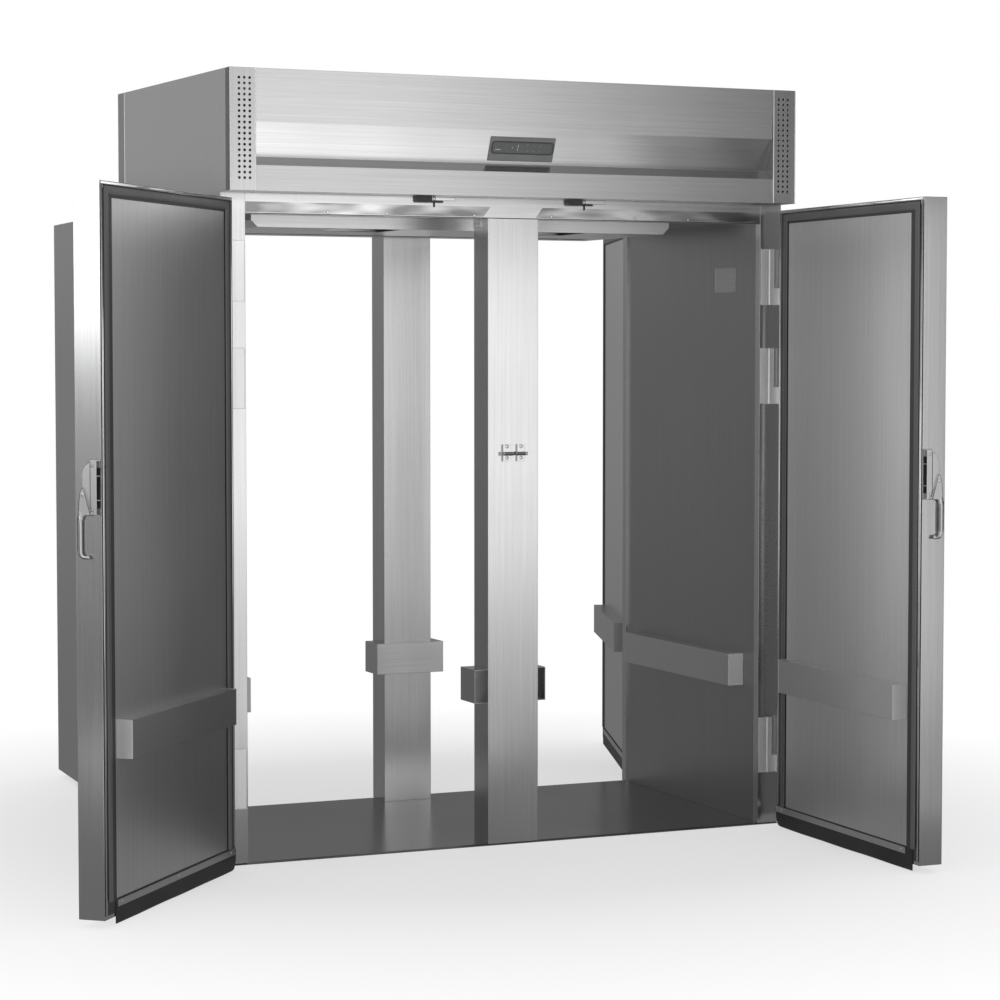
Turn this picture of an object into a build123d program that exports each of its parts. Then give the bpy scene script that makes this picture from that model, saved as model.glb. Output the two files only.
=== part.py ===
from build123d import *
import math
import os

# Two-section roll-through refrigerator, in millimetres.
# The origin is on the floor under the middle of the cabinet. X runs to the right as seen from the
# front, Y runs to the back and Z runs up. Front and back doors stand open, as they were photographed.

# Overall sizes
cabinet_width = 1740.0
canopy_depth = 1080.0
cabinet_height = 2177.5
cabinet_rear_height = 2194.0
canopy_base = 1848.0
frame_depth = 912.0

# Cabinet frame
sheet = 1.2
floor_thickness = 5.0
floor_bevel = 10.0
wall_liner_inner = 806.0
jamb_inner = 800.0
jamb_depth = 27.0
liner_sheet = 1.0
rail_depth = 40.0
rail_bottom = 1791.0
mullion_width = 156.0
mullion_depth = 100.0
bracket_depth = 54.0
bracket_height = 24.0
bracket_thickness = 2.5
bracket_hole_radius = 3.0
ceiling_height = 1805.0

# Doors
door_edge_free = 36.0
door_edge_hinge = 856.0
door_bottom = 22.0
door_top = 1829.0
door_thickness = 70.0
door_inner_gap = 6.0
door_lip = 10.0
free_lip = 20.0
free_border = 68.0
hinge_border = 56.0
top_border = 40.0
bottom_border = 44.0
opening_angles = {
    ("left", "front"): 131.1,
    ("right", "front"): 88.5,
    ("left", "rear"): 87.0,
    ("right", "rear"): 110.0,
}

# Door seals
breaker_proud = 0.5
bellows_height = 5.5
bellows_width = 22.0
bellows_free_start = 58.0
bellows_hinge_start = 806.0
bellows_top_start = 1795.0
flap_starts = {"left": 95.0, "right": 68.0}
flap_end = 855.0
flap_corner = 24.0
flap_bottom = 3.0
flap_top = 60.0
flap_thickness = 1.8
bar_start = 105.0
bar_end = 852.0
bar_bottom = 45.0
bar_top = 62.0
bar_thickness = 1.8
bar_screws = (129.0, 473.0, 820.0)

# Hinges
pivot_x = 868.0
pivot_setback = 52.0
hinge_bottoms = (157.0, 1259.0, 1552.0)
hinge_height = 165.0
lower_knuckle = 50.0
knuckle_gap = 1.0
knuckle_radius = 8.0
pin_radius = 4.0
pin_clearance = 0.05
leaf_inner = 803.0
leaf_outer = 846.0
leaf_thickness = 2.5
leaf_pocket = 1.2
rib_inner = 832.0
rib_height = 3.0
strap_thickness = 2.5
strap_width = 52.0

# Latches, with depths measured back from the door's outer face
latch_bottom = 1017.0
latch_top = 1152.0
latch_face_depths = (42.0, 68.0)
slot_depth = 59.0
slot_bottom = 1034.0
slot_top = 1133.0
latch_rise = 5.0
latch_base = 2.0
housing_rise = 6.0
housing_depths = (21.5, 41.5)
housing_top = 1146.0
housing_shoulder = 1109.0
screw_radius = 3.6
screw_height = 1.2
handle_pivot_depth = 25.0
handle_pivot_height = 1068.0
handle_pin_radius = 3.0
handle_pin_clearance = 0.05
handle_plate = 6.5
handle_gap = 0.5
grip_bottom = 909.0
grip_top = 1034.0
hook_depth = 48.5
grip_depths = (11.5, 22.5)
grip_thickness = 10.0
strike_bottom = 1102.0
strike_top = 1150.0
strike_reach = (10.0, 34.0)
strike_depth = 7.0
strike_screws = (1112.0, 1144.0)
strike_arm_height = 1123.5
strike_arm_end = 44.0
roller_radius = 5.0
roller_reach = (4.0, 33.5)

# Bumpers
bumper_sheet = 1.5
bumper_cap = 3.0
door_bumper_span = (118.0, 772.0)
door_bumper_heights = (412.0, 509.0)
door_bumper_depth = 40.0
wall_bumper_half_length = 351.0
wall_bumper_heights = (409.0, 505.0)
wall_bumper_depth = 50.0
mullion_bumper_half_width = 111.0
mullion_bumper_length = 103.0
mullion_bumper_setback = 20.0

# Canopy
strip_width = 73.0
strip_return_front = 32.0
strip_return_rear = 68.0
vent_columns = (26.7, 41.8, 56.9)
vent_rows = 19
vent_pitch = 14.9
vent_bottom_row = 1882.0
vent_radius = 3.5
fascia_sheet = 1.5
fascia_profile = ((2.0, cabinet_height), (4.0, 2034.0), (44.0, 1942.0), (8.0, 1918.0), (4.0, 1848.0))
panel_width = 200.0
panel_height = 71.0
panel_drop = 0.55
controller_drop = 0.47
panel_thickness = 3.0
display_width = 184.0
display_height = 38.0
display_rise = 1.0
controller_width = 176.0
controller_height = 32.0
controller_depth = 45.0
deck_thickness = 1.5
top_slots = 18
gland_y = 400.0
gland_z = 2110.0
gland_radius = 13.0
gland_hole_radius = 8.0
gland_bore_radius = 4.5

# Door switches
switch_starts = (-301.0, 165.0)
switch_width = 46.0
switch_height = 17.0
switch_reach = 16.0
switch_strap = 3.0
strap_length = 76.0
strap_height = 11.0
guard_length = 38.0
plunger_offset = 58.0
plunger_tip = 1819.0
plunger_radius = 1.8

# Cooling unit in the canopy
fan_x = 300.0
fan_y = -10.0
fan_well_half = 100.0
shroud_hole_radius = 100.0
fan_blade_radius = 88.0
fan_height = 1872.0
fan_shaft_length = 60.0
motor_radius = 38.0
motor_gap = 40.0
bore_spare = 8.0
duct_half_width = 670.0
duct_front = -120.0
duct_rear = 414.0
gutter_rear = 440.0
duct_bottom = 1770.0
duct_chamfer = 20.0
baffle_y = 100.0
outlet_half_width = 600.0
outlet_windows = 5
outlet_web = 40.0
outlet_front = 120.0
outlet_rear = 310.0
outlet_slot = 60.0
cover_half_width = 640.0
cover_front = -124.0
cover_rear = 342.0
cover_top = 2010.0
cover_wall = 22.0
coil_height = 1900.0
coil_middle = 1915.0
coil_size = (1040.0, 110.0, 160.0)
coil_fins = 40
coil_tube_rows = 3
coil_tube_columns = 3
liquid_line_y = 195.0
suction_line_y = 245.0
compressor_centre = (-520.0, -330.0)
compressor_radius = 85.0
compressor_top = 2045.0
suction_height = 1960.0
stub_length = 12.0
stub_radius = 7.0
condenser_x = 480.0
shroud_face = 418.0
condenser_y = -320.0
condenser_height = 1985.0
condenser_size = (240.0, 220.0, 44.0)
condenser_inset = 30.0
condenser_fins = 28
condenser_tube_rows = 6
condenser_tube_columns = 2
shroud_half = 120.0
shroud_sheet = 2.0
line_radius = 5.0
high_line = 2112.0
low_line = 1872.0
aisle_x = -705.0
aisle_y = -165.0
coil_end = -536.0
tank_rise = 111.0
tank_offset = 136.0

half_width = cabinet_width / 2
canopy_front = -canopy_depth / 2
post_plane = -frame_depth / 2
mullion_half = mullion_width / 2
door_inner = post_plane - door_inner_gap
door_outer = door_inner - door_thickness
pivot_y = canopy_front + pivot_setback
breaker_back = door_inner - sheet
breaker_face = door_inner + breaker_proud
latch_slot_back = door_outer + slot_depth


def block(x0, x1, y0, y1, z0, z1):
    """A box between two opposite corners."""
    size = Box(abs(x1 - x0), abs(y1 - y0), abs(z1 - z0))
    return Pos((x0 + x1) / 2, (y0 + y1) / 2, (z0 + z1) / 2) * size


def hollow(x0, x1, y0, y1, z0, z1, wall, open_x=False, open_z=False):
    """A box with sheet walls, open at both ends along X or Z where asked."""
    end_x = -wall if open_x else wall
    end_z = -wall if open_z else wall
    outer = block(x0, x1, y0, y1, z0, z1)
    return outer - block(x0 + end_x, x1 - end_x, y0 + wall, y1 - wall, z0 + end_z, z1 - end_z)


def rod(start, end, radius):
    """A round bar between two points."""
    axis = Vector(*end) - Vector(*start)
    return extrude(Plane(origin=start, z_dir=axis) * Circle(radius), axis.length)


def side_profile(points, x0, x1):
    """A shape with a closed outline in the YZ plane, reaching from x0 to x1."""
    face = make_face(Polyline(*points, close=True))
    return Pos(x0, 0, 0) * extrude(Plane.YZ * face, x1 - x0)


def both_sides(shape):
    """The shape and its mirror image on the other side of the cabinet."""
    return [shape, shape.mirror(Plane.YZ)]


def both_ends(shape):
    """The shape and its mirror image at the other end, front or back."""
    return [shape, shape.mirror(Plane.XZ)]


def four_corners(shape):
    """The shape at the right front, with its images at the other three corners."""
    return [corner for end in both_ends(shape) for corner in both_sides(end)]


def save(name, solids):
    """Writes one node, from a solid or a list of them."""
    pieces = []
    for item in solids if isinstance(solids, list) else [solids]:
        pieces += list(item.solids())
    shape = pieces[0] if len(pieces) == 1 else Compound(children=pieces)
    export_step(shape, f"parts/{name}.step")


def floor_pan():
    front = post_plane
    rear = -post_plane
    outline = (
        (front, 0),
        (rear, 0),
        (rear - floor_bevel, floor_thickness),
        (front + floor_bevel, floor_thickness),
    )
    return side_profile(outline, -half_width, half_width)


def hinge_pockets():
    """Cuts that let the hinge leaves lie flush in the right front jamb."""
    cuts = []
    for bottom in hinge_bottoms:
        top = bottom + hinge_height
        cuts.append(block(leaf_inner, leaf_outer, post_plane - 1, post_plane + leaf_pocket, bottom, top))
    return cuts


def side_wall():
    """The right wall: an outer sheet folded into a box jamb at each end."""
    rear_of_jamb = post_plane + jamb_depth
    base = floor_thickness
    jamb = hollow(jamb_inner, half_width, post_plane, rear_of_jamb, base, canopy_base, sheet, open_z=True)
    jamb -= hinge_pockets()
    skin = block(half_width - sheet, half_width, rear_of_jamb, -rear_of_jamb, base, canopy_base)
    return skin + both_ends(jamb)


def sheets(rows, z0, z1):
    """Plain boards side by side. A row has its two Y limits and the X limits of its boards in turn."""
    pieces = []
    for y0, y1, edges in rows:
        for x0, x1 in zip(edges[::2], edges[1::2]):
            pieces.append(block(x0, x1, y0, y1, z0, z1))
    return pieces


def fan_row(reach):
    """The boards between and beside the two square wells under the fans."""
    half = fan_well_half
    edges = [-reach, -fan_x - half, half - fan_x, fan_x - half, fan_x + half, reach]
    return (fan_y - half, fan_y + half, edges)


def outlet_row(reach):
    """The boards between and beside the outlets under the coil."""
    edges = [-reach]
    pitch = 2 * outlet_half_width / outlet_windows
    half = (pitch - outlet_web) / 2
    for number in range(outlet_windows):
        middle = (number - (outlet_windows - 1) / 2) * pitch
        edges += [middle - half, middle + half]
    return (outlet_front, outlet_rear, edges + [reach])


def ceiling_layer(reach_x, reach_y, z0, z1):
    """One layer over the bays, in boards laid round the fan wells and the outlets."""
    whole = [-reach_x, reach_x]
    fans = fan_row(reach_x)
    outlets = outlet_row(reach_x)
    rows = [
        (-reach_y, fans[0], whole),
        fans,
        (fans[1], outlet_front, whole),
        outlets,
        (outlet_rear, reach_y, whole),
    ]
    return sheets(rows, z0, z1)


def interior_liner():
    """Thin inner skins: one on each wall and one under the ceiling."""
    reach = -post_plane - jamb_depth
    outer = wall_liner_inner + liner_sheet
    wall = block(wall_liner_inner, outer, -reach, reach, floor_thickness, canopy_base)
    rail_inner = -post_plane - rail_depth
    top = ceiling_height + liner_sheet
    first, *others = ceiling_layer(wall_liner_inner, rail_inner, ceiling_height, top)
    return both_sides(wall) + [first + others]


def cabinet_insulation():
    """Foam blocks in both walls, and foam boards over the ceiling."""
    reach = -post_plane - jamb_depth
    inner = wall_liner_inner + liner_sheet
    wall = block(inner, half_width - sheet, -reach, reach, floor_thickness, canopy_base)
    rail_inner = -post_plane - rail_depth
    bottom = ceiling_height + liner_sheet
    return both_sides(wall) + ceiling_layer(wall_liner_inner, rail_inner, bottom, canopy_base)


def head_rails():
    rear = post_plane + rail_depth
    rail = hollow(-jamb_inner, jamb_inner, post_plane, rear, rail_bottom, canopy_base, sheet, open_x=True)
    return both_ends(rail)


def mullions():
    rear = post_plane + mullion_depth
    bottom = floor_thickness
    post = hollow(-mullion_half, mullion_half, post_plane, rear, bottom, rail_bottom, sheet, open_z=True)
    foot = block(-mullion_half, mullion_half, post_plane, post_plane + floor_bevel, bottom, bottom + sheet)
    pieces = both_ends(post + foot)
    return pieces + both_sides(mullion_bracket())


def mullion_bracket():
    """A drilled plate on the side of the front mullion, under the head rail."""
    rear = post_plane + mullion_depth
    front = rear - bracket_depth
    outer = mullion_half + bracket_thickness
    plate = block(mullion_half, outer, front, rear, rail_bottom - bracket_height, rail_bottom)
    middle = rail_bottom - bracket_height / 2
    for y in (front + bracket_depth / 4, rear - bracket_depth / 4):
        plate -= rod((mullion_half - 1, y, middle), (outer + 1, y, middle), bracket_hole_radius)
    return plate


def mullion_bumpers():
    """A sheet channel wrapped round the inner three sides of each mullion."""
    low, high = wall_bumper_heights
    reach = mullion_bumper_half_width
    front = post_plane + mullion_bumper_setback
    rear = front + mullion_bumper_length
    skin = bumper_sheet
    band = block(-reach, reach, front, rear, low, high)
    band -= block(skin - reach, reach - skin, front - 1, rear - skin, low + skin, high - skin)
    band -= block(-mullion_half, mullion_half, front - 1, post_plane + mullion_depth, low - 1, high + 1)
    return both_ends(band)


def wall_bumpers():
    """A channel on each wall with a polished cap at each end."""
    low, high = wall_bumper_heights
    reach = wall_bumper_half_length
    inner = wall_liner_inner - wall_bumper_depth
    skin = bumper_sheet
    channel = block(inner, wall_liner_inner, -reach, reach, low, high)
    channel -= block(inner + skin, wall_liner_inner + 1, -reach - 1, reach + 1, low + skin, high - skin)
    cap = block(inner, wall_liner_inner, reach, reach + bumper_cap, low, high)
    return both_sides(channel) + four_corners(cap)


def hinge_leaf(bottom):
    """The fixed half of one hinge, with its lower knuckle and pin."""
    top = bottom + hinge_height
    knuckle_top = bottom + lower_knuckle
    leaf = block(leaf_inner, leaf_outer, post_plane, post_plane + leaf_thickness, bottom, top)
    rib = block(rib_inner, leaf_outer, post_plane - rib_height, post_plane, bottom, top)
    foot = block(rib_inner, half_width, post_plane - rib_height, post_plane, bottom, knuckle_top)
    arm_inner = pivot_x - knuckle_radius + 1
    arm = block(arm_inner, pivot_x, pivot_y, post_plane, bottom, knuckle_top)
    knuckle = rod((pivot_x, pivot_y, bottom), (pivot_x, pivot_y, knuckle_top), knuckle_radius)
    pin = rod((pivot_x, pivot_y, knuckle_top), (pivot_x, pivot_y, top - 2), pin_radius)
    return leaf + rib + foot + arm + knuckle + pin


def hinge_leaves():
    leaves = []
    for bottom in hinge_bottoms:
        leaves += four_corners(hinge_leaf(bottom))
    return leaves


def strike():
    """A thick plate with two sunk screws, a side arm behind it and a roller across its front."""
    inner, outer = strike_reach
    face = post_plane - strike_depth
    middle = strike_arm_height
    half_arm = 5.5
    arm_face = post_plane - 5.5
    sink_radius = 4.4
    sink_depth = 3.0
    plate = block(inner, outer, face, post_plane, strike_bottom, strike_top)
    arm = block(outer, strike_arm_end, arm_face, post_plane, middle - half_arm, middle + half_arm)
    arm = chamfer(arm.edges().filter_by(Axis.Y).group_by(Axis.X)[-1], half_arm / 2)
    roller_y = face - roller_radius + 1
    roller = rod((roller_reach[0], roller_y, middle), (roller_reach[1], roller_y, middle), roller_radius)
    plate = plate + arm + roller
    x = (inner + outer) / 2
    screws = []
    for z in strike_screws:
        plate -= rod((x, face - 1, z), (x, face + sink_depth, z), sink_radius)
        sunk = face + sink_depth
        screws.append(rod((x, sunk, z), (x, sunk - screw_height, z), screw_radius))
    return [plate] + screws


def strikes():
    return [copy for piece in strike() for copy in four_corners(piece)]


def door_switch(start):
    """A switch for one door: a housing, a strap beside it, a roller guard and a hanging plunger."""
    face = post_plane - switch_reach
    low = canopy_base - switch_height
    strap_start = start + switch_width
    strap_end = strap_start + strap_length
    strap_low = canopy_base - strap_height
    housing = block(start, strap_start, face, post_plane, low, canopy_base)
    housing = chamfer(housing.edges().filter_by(Axis.Y).group_by(Axis.Z)[0], switch_height / 4)
    strap = block(strap_start, strap_end, post_plane - switch_strap, post_plane, strap_low, canopy_base)
    guard_end = strap_start + guard_length
    guard = block(strap_start, guard_end, post_plane - 2 * switch_strap, post_plane, low, strap_low)
    guard = chamfer(guard.edges().filter_by(Axis.Y).group_by(Axis.X)[-1], guard.bounding_box().size.Z / 3)
    x, y = start + plunger_offset, post_plane - switch_strap
    plunger = rod((x, y, low + 1), (x, y, plunger_tip), plunger_radius)
    screw_x, screw_z = strap_start + strap_height, (strap_low + canopy_base) / 2
    screw = rod((screw_x, y, screw_z), (screw_x, y - screw_height, screw_z), screw_radius)
    return housing + strap + guard + plunger + screw


def door_switches():
    """One switch above each door. The two at the back are turned about the cabinet's middle."""
    front = [door_switch(start) for start in switch_starts]
    return front + [switch.rotate(Axis.Z, 180) for switch in front]


def vent_hole(x, z):
    return rod((x, canopy_front - 2, z), (x, canopy_front + 4, z), vent_radius)


def side_height(setback):
    """The height of a side's top edge, which rises to the back, at a distance behind the front."""
    return cabinet_height + (cabinet_rear_height - cabinet_height) * setback / canopy_depth


def vent_strip(side_return, high, fold_high):
    """A corner strip: a perforated face and a plain return along the side, with its own top edge."""
    low = canopy_base
    inner = half_width - strip_width
    face = block(inner, half_width, canopy_front, canopy_front + sheet, low, high)
    rear = canopy_front + side_return
    outline = ((canopy_front, low), (rear, low), (rear, fold_high), (canopy_front, high))
    fold = side_profile(outline, half_width - sheet, half_width)
    holes = []
    for row in range(vent_rows):
        for offset in vent_columns:
            holes.append(vent_hole(half_width - offset, vent_bottom_row + row * vent_pitch))
    return (face + fold) - holes


def vent_strips():
    front = vent_strip(strip_return_front, cabinet_height, side_height(strip_return_front))
    rear_edge = side_height(canopy_depth - strip_return_rear)
    rear = vent_strip(strip_return_rear, cabinet_rear_height, rear_edge).mirror(Plane.XZ)
    return both_sides(front) + both_sides(rear)


def cable_gland():
    """The supply cable's gland: a six-sided nut and a bored dome, with a stem through the panel."""
    x, y, z = half_width, gland_y, gland_z
    nut = extrude(Plane.YZ * RegularPolygon(gland_radius, 6), gland_radius / 2)
    gland = Pos(x, y, z) * nut
    gland += rod((x, y, z), (x + 1.3 * gland_radius, y, z), 0.75 * gland_radius)
    gland += rod((x - gland_radius, y, z), (x, y, z), gland_hole_radius)
    return gland - rod((x - gland_radius - 1, y, z), (x + 2 * gland_radius, y, z), gland_bore_radius)


def canopy_side_panels():
    front = canopy_front + strip_return_front
    rear = -canopy_front - strip_return_rear
    front_top = side_height(strip_return_front)
    rear_top = side_height(canopy_depth - strip_return_rear)
    outline = ((front, canopy_base), (rear, canopy_base), (rear, rear_top), (front, front_top))
    panel = side_profile(outline, half_width - sheet, half_width)
    left = panel.mirror(Plane.YZ)
    hole = rod((half_width - 2, gland_y, gland_z), (half_width + 1, gland_y, gland_z), gland_hole_radius)
    return [left, panel - hole, cable_gland()]


def fascia(high):
    """The folded front sheet: a flat top, a sloping band, a ledge and a lower band."""
    outer = [(canopy_front + y, z) for y, z in fascia_profile]
    outer[0] = (outer[0][0], high)
    inner = [(y + fascia_sheet, z) for y, z in reversed(outer)]
    reach = half_width - strip_width
    return side_profile(outer + inner, -reach, reach)


def slope_plane(drop=0.5):
    """A plane on the sloping band, facing out, with its origin part way down the slope."""
    (y0, z0), (y1, z1) = fascia_profile[1:3]
    length = math.hypot(y1 - y0, z1 - z0)
    normal = (0, (z1 - z0) / length, (y0 - y1) / length)
    origin = (0, canopy_front + y0 + drop * (y1 - y0), z0 + drop * (z1 - z0))
    return Plane(origin=origin, x_dir=(1, 0, 0), z_dir=normal)


def controller_window(clearance=0.0):
    """The controller's body behind the sloping band."""
    size = Box(
        controller_width + clearance,
        controller_height + clearance,
        controller_depth + 2 * clearance,
        align=(Align.CENTER, Align.CENTER, Align.MAX),
    )
    return slope_plane(controller_drop) * Pos(0, 0, clearance) * size


def front_fascia():
    return fascia(cabinet_height) - controller_window(1.0)


def rear_fascia():
    return fascia(cabinet_rear_height).mirror(Plane.XZ)


def control_panel():
    """A cover plate with a raised display window, on the front of the controller."""
    plate = Box(panel_width, panel_height, panel_thickness, align=(Align.CENTER, Align.CENTER, Align.MIN))
    plate = chamfer(plate.faces().sort_by(Axis.Z)[-1].edges(), 1)
    window = extrude(RectangleRounded(display_width, display_height, 8), display_rise)
    window_y = 9.0
    plate += Pos(0, window_y, panel_thickness) * window
    return slope_plane(panel_drop) * plate + controller_window()


def top_panel():
    """The flat lid between the canopy's sides, with a row of exhaust slots at each end."""
    side = half_width - sheet
    reach = -canopy_front - fascia_profile[0][0] - fascia_sheet - 1
    lid = block(-side, side, -reach, reach, cabinet_height - sheet, cabinet_height)
    slots = []
    slot_length = 140.0
    slot_width = 8.0
    slot_pitch = 24.0
    for number in range(top_slots):
        y = (number - (top_slots - 1) / 2) * slot_pitch
        for x in (-640, 640):
            slot = SlotOverall(slot_length, slot_width)
            slots.append(Pos(x, y, cabinet_height - 2) * extrude(slot, 4))
    return lid - slots


def machine_deck():
    """The canopy's floor, in sheets laid like the foam boards under it."""
    reach = -canopy_front - fascia_profile[-1][0] - fascia_sheet - 1
    return ceiling_layer(half_width - sheet, reach, canopy_base, canopy_base + deck_thickness)


def air_duct_panel():
    """The false ceiling under the fans and coil: sheets between two bevelled side rails."""
    inside = duct_half_width - duct_chamfer
    top = ceiling_height
    skin = sheet
    outline = (
        (inside, top),
        (inside, duct_bottom),
        (duct_half_width, duct_bottom + duct_chamfer),
        (duct_half_width, top),
    )
    face = make_face(Polyline(*outline, close=True))
    rail = Pos(0, duct_rear, 0) * extrude(Plane.XZ * face, duct_rear - duct_front)
    fans = fan_row(inside)
    slot_rear = -post_plane - mullion_depth - skin
    slot_front = slot_rear - outlet_slot
    rows = [
        (duct_front, fans[0], [-inside, inside]),
        fans,
        (fans[1], slot_front, [-inside, inside]),
        (slot_front, slot_rear, [-inside, -outlet_half_width, outlet_half_width, inside]),
        (slot_rear, duct_rear, [-inside, -mullion_half, mullion_half, inside]),
    ]
    base = duct_bottom + skin
    pieces = both_sides(rail) + sheets(rows, duct_bottom, base)
    pieces.append(block(-inside, inside, duct_front, duct_front + skin, base, top))
    pieces.append(block(-inside, inside, baffle_y, baffle_y + skin, base, top))
    pieces += both_sides(block(mullion_half, inside, duct_rear - skin, duct_rear, base, top))
    gutter_top = rail_bottom - 2
    gutter = hollow(mullion_half, inside, duct_rear, gutter_rear, duct_bottom, gutter_top, skin)
    return pieces + both_sides(gutter)


def evaporator_cover():
    """The insulated lid over the fans and coil, with two fan motors hung inside."""
    base = canopy_base + deck_thickness
    wide, front, rear, top = cover_half_width, cover_front, cover_rear, cover_top
    wall = cover_wall
    lid = block(-wide, wide, front, rear, base, top)
    lid -= block(wall - wide, wide - wall, front + wall, rear - wall, base - 1, top - wall)
    for y in (liquid_line_y, suction_line_y):
        lid -= rod((-wide - 1, y, coil_height), (wall - wide + 1, y, coil_height), line_radius + 1)
    pieces = [lid]
    motor_bottom = fan_height + motor_gap
    bore_top = fan_height + fan_shaft_length + bore_spare
    bore_radius = pin_radius + pin_clearance
    for x in (-fan_x, fan_x):
        motor = rod((x, fan_y, motor_bottom), (x, fan_y, top - wall), motor_radius)
        motor -= rod((x, fan_y, motor_bottom - 1), (x, fan_y, bore_top), bore_radius)
        pieces.append(motor)
    return pieces


def finned_block(size, fins, tube_rows, tube_columns):
    """A coil along X: thin upright fins on a bank of tubes, centred on the origin."""
    length, height, depth = size
    fin = 1.4
    tube_radius = 5.0
    overhang = 15.0
    end = length / 2 + overhang
    pitch = (length - fin) / (fins - 1)
    body = None
    for row in range(tube_rows):
        for column in range(tube_columns):
            z = (row - (tube_rows - 1) / 2) * height / tube_rows
            y = (column - (tube_columns - 1) / 2) * depth / tube_columns
            tube = rod((-end, y, z), (end, y, z), tube_radius)
            body = tube if body is None else body + tube
    plates = []
    for number in range(fins):
        x = number * pitch - (length - fin) / 2
        plates.append(Pos(x, 0, 0) * Box(fin, depth, height))
    return body + plates


def evaporator_coil():
    coil = finned_block(coil_size, coil_fins, coil_tube_rows, coil_tube_columns)
    return Pos(0, (outlet_front + outlet_rear) / 2, coil_middle) * coil


def compressor():
    """A hermetic shell on four feet, with its terminal box and two line stubs."""
    x, y = compressor_centre
    base = canopy_base + deck_thickness
    foot_height = 12.0
    plate_top = base + foot_height + 8.0
    plate_half = (115.0, 85.0)
    foot_half = (98.0, 68.0)
    box_reach = 27.0
    box_bottom = base + 70.0
    side = x + compressor_radius
    shell = rod((x, y, plate_top - 2), (x, y, compressor_top), compressor_radius)
    shell = fillet(shell.edges().filter_by(GeomType.CIRCLE), compressor_radius / 3)
    plate = Box(2 * plate_half[0], 2 * plate_half[1], plate_top - base - foot_height)
    plate = Pos(x, y, (base + foot_height + plate_top) / 2) * plate
    terminals = block(side - box_reach, side + box_reach, y - 35, y + 35, box_bottom, box_bottom + 70)
    top_stub = rod((x, y, compressor_top - 10), (x, y, compressor_top + stub_length), stub_radius)
    low = suction_height
    side_stub = rod((x, y, low), (x - compressor_radius - stub_length, y, low), stub_radius)
    pieces = [shell + plate + terminals + top_stub + side_stub]
    for dx in (-foot_half[0], foot_half[0]):
        for dy in (-foot_half[1], foot_half[1]):
            pieces.append(rod((x + dx, y + dy, base), (x + dx, y + dy, base + foot_height), foot_height))
    return pieces


def condenser_unit():
    """The condenser coil, its shroud and the fan motor on a bracket."""
    y, z = condenser_y, condenser_height
    half, room = shroud_half, shroud_half - shroud_sheet
    inner, outer = shroud_face, condenser_x + 4
    hole_end = inner + shroud_sheet
    base = canopy_base + deck_thickness
    coil = finned_block(condenser_size, condenser_fins, condenser_tube_rows, condenser_tube_columns)
    coil = Pos(condenser_x + condenser_inset, y, z) * (Rot(0, 0, 90) * coil)
    shroud = block(inner, outer, y - half, y + half, z - half, z + half)
    shroud -= block(hole_end, outer + 1, y - room, y + room, z - room, z + room)
    shroud -= rod((inner - 1, y, z), (hole_end + 1, y, z), shroud_hole_radius)
    stand = block(inner, outer, y - half, y + half, base, z - half)
    motor_face = inner - 30
    motor_back = motor_face - 80
    bore_end = motor_face - 30
    motor = rod((motor_back, y, z), (motor_face, y, z), motor_radius)
    motor -= rod((bore_end, y, z), (motor_face + 1, y, z), pin_radius + pin_clearance)
    bracket_half = 20.0
    bracket_top = z - motor_radius + 8
    bracket = block(bore_end - 30, bore_end, y - bracket_half, y + bracket_half, base, bracket_top)
    return [coil, shroud + stand, motor + bracket]


def fan_wheel(blades=5):
    """A hub on a shaft with twisted blades, turning about Z with its shaft pointing up."""
    hub_radius = 24.0
    hub_height = 22.0
    root = hub_radius - 4
    tip = fan_blade_radius
    pitch_angle = 22.0
    blade_thickness = 2.0
    root_half, tip_half = 16.0, 26.0
    outline = ((root, -root_half), (tip, -tip_half), (tip, tip_half), (root, root_half))
    blade_face = make_face(Polyline(*outline, close=True))
    blade = Rot(pitch_angle, 0, 0) * extrude(blade_face, blade_thickness)
    reach = Cylinder(tip, 3 * hub_height) - Cylinder(root, 3 * hub_height)
    wheel = Cylinder(hub_radius, hub_height)
    for number in range(blades):
        wheel += (Rot(0, 0, 360 / blades * number) * blade) & reach
    return wheel + rod((0, 0, 0), (0, 0, fan_shaft_length), pin_radius)


def refrigerant_lines():
    """Copper lines: compressor to condenser, condenser to coil and coil back to compressor."""
    x, y = compressor_centre
    tank_x = condenser_x + condenser_inset
    tank_y = condenser_y + tank_offset
    discharge = (
        (x, y, compressor_top + stub_length),
        (x, y, high_line),
        (tank_x, y, high_line),
        (tank_x, y, condenser_height + tank_rise),
    )
    liquid = (
        (tank_x, tank_y, low_line),
        (tank_x, aisle_y, low_line),
        (aisle_x, aisle_y, low_line),
        (aisle_x, liquid_line_y, coil_height),
        (coil_end, liquid_line_y, coil_height),
    )
    suction = (
        (x - compressor_radius - stub_length, y, suction_height),
        (aisle_x - 20, y, suction_height),
        (aisle_x - 20, suction_line_y, coil_height),
        (coil_end, suction_line_y, coil_height),
    )
    return [pipe(route, line_radius) for route in (discharge, liquid, suction)]


def pipe(points, radius):
    """A tube of straight runs with a brazed elbow at each corner."""
    joint_radius = radius * 1.25
    tube = None
    for start, end in zip(points, points[1:]):
        run = rod(start, end, radius)
        tube = run if tube is None else tube + run
    for corner in points[1:-1]:
        tube += Pos(*corner) * Sphere(joint_radius)
    return tube


def door_shell():
    """The outer pan: a face, four edges and a lip folded in round the back, wider at the free edge."""
    x0, x1, z0, z1 = door_edge_free, door_edge_hinge, door_bottom, door_top
    pan = hollow(x0, x1, door_outer, door_inner, z0, z1, sheet)
    lip = door_lip
    return pan - block(x0 + free_lip, x1 - lip, breaker_back - 1, door_inner + 1, z0 + lip, z1 - lip)


def door_core():
    x0, x1, z0, z1 = door_edge_free, door_edge_hinge, door_bottom, door_top
    front = door_outer + sheet
    return block(x0 + sheet, x1 - sheet, front, breaker_back, z0 + sheet, z1 - sheet)


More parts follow.
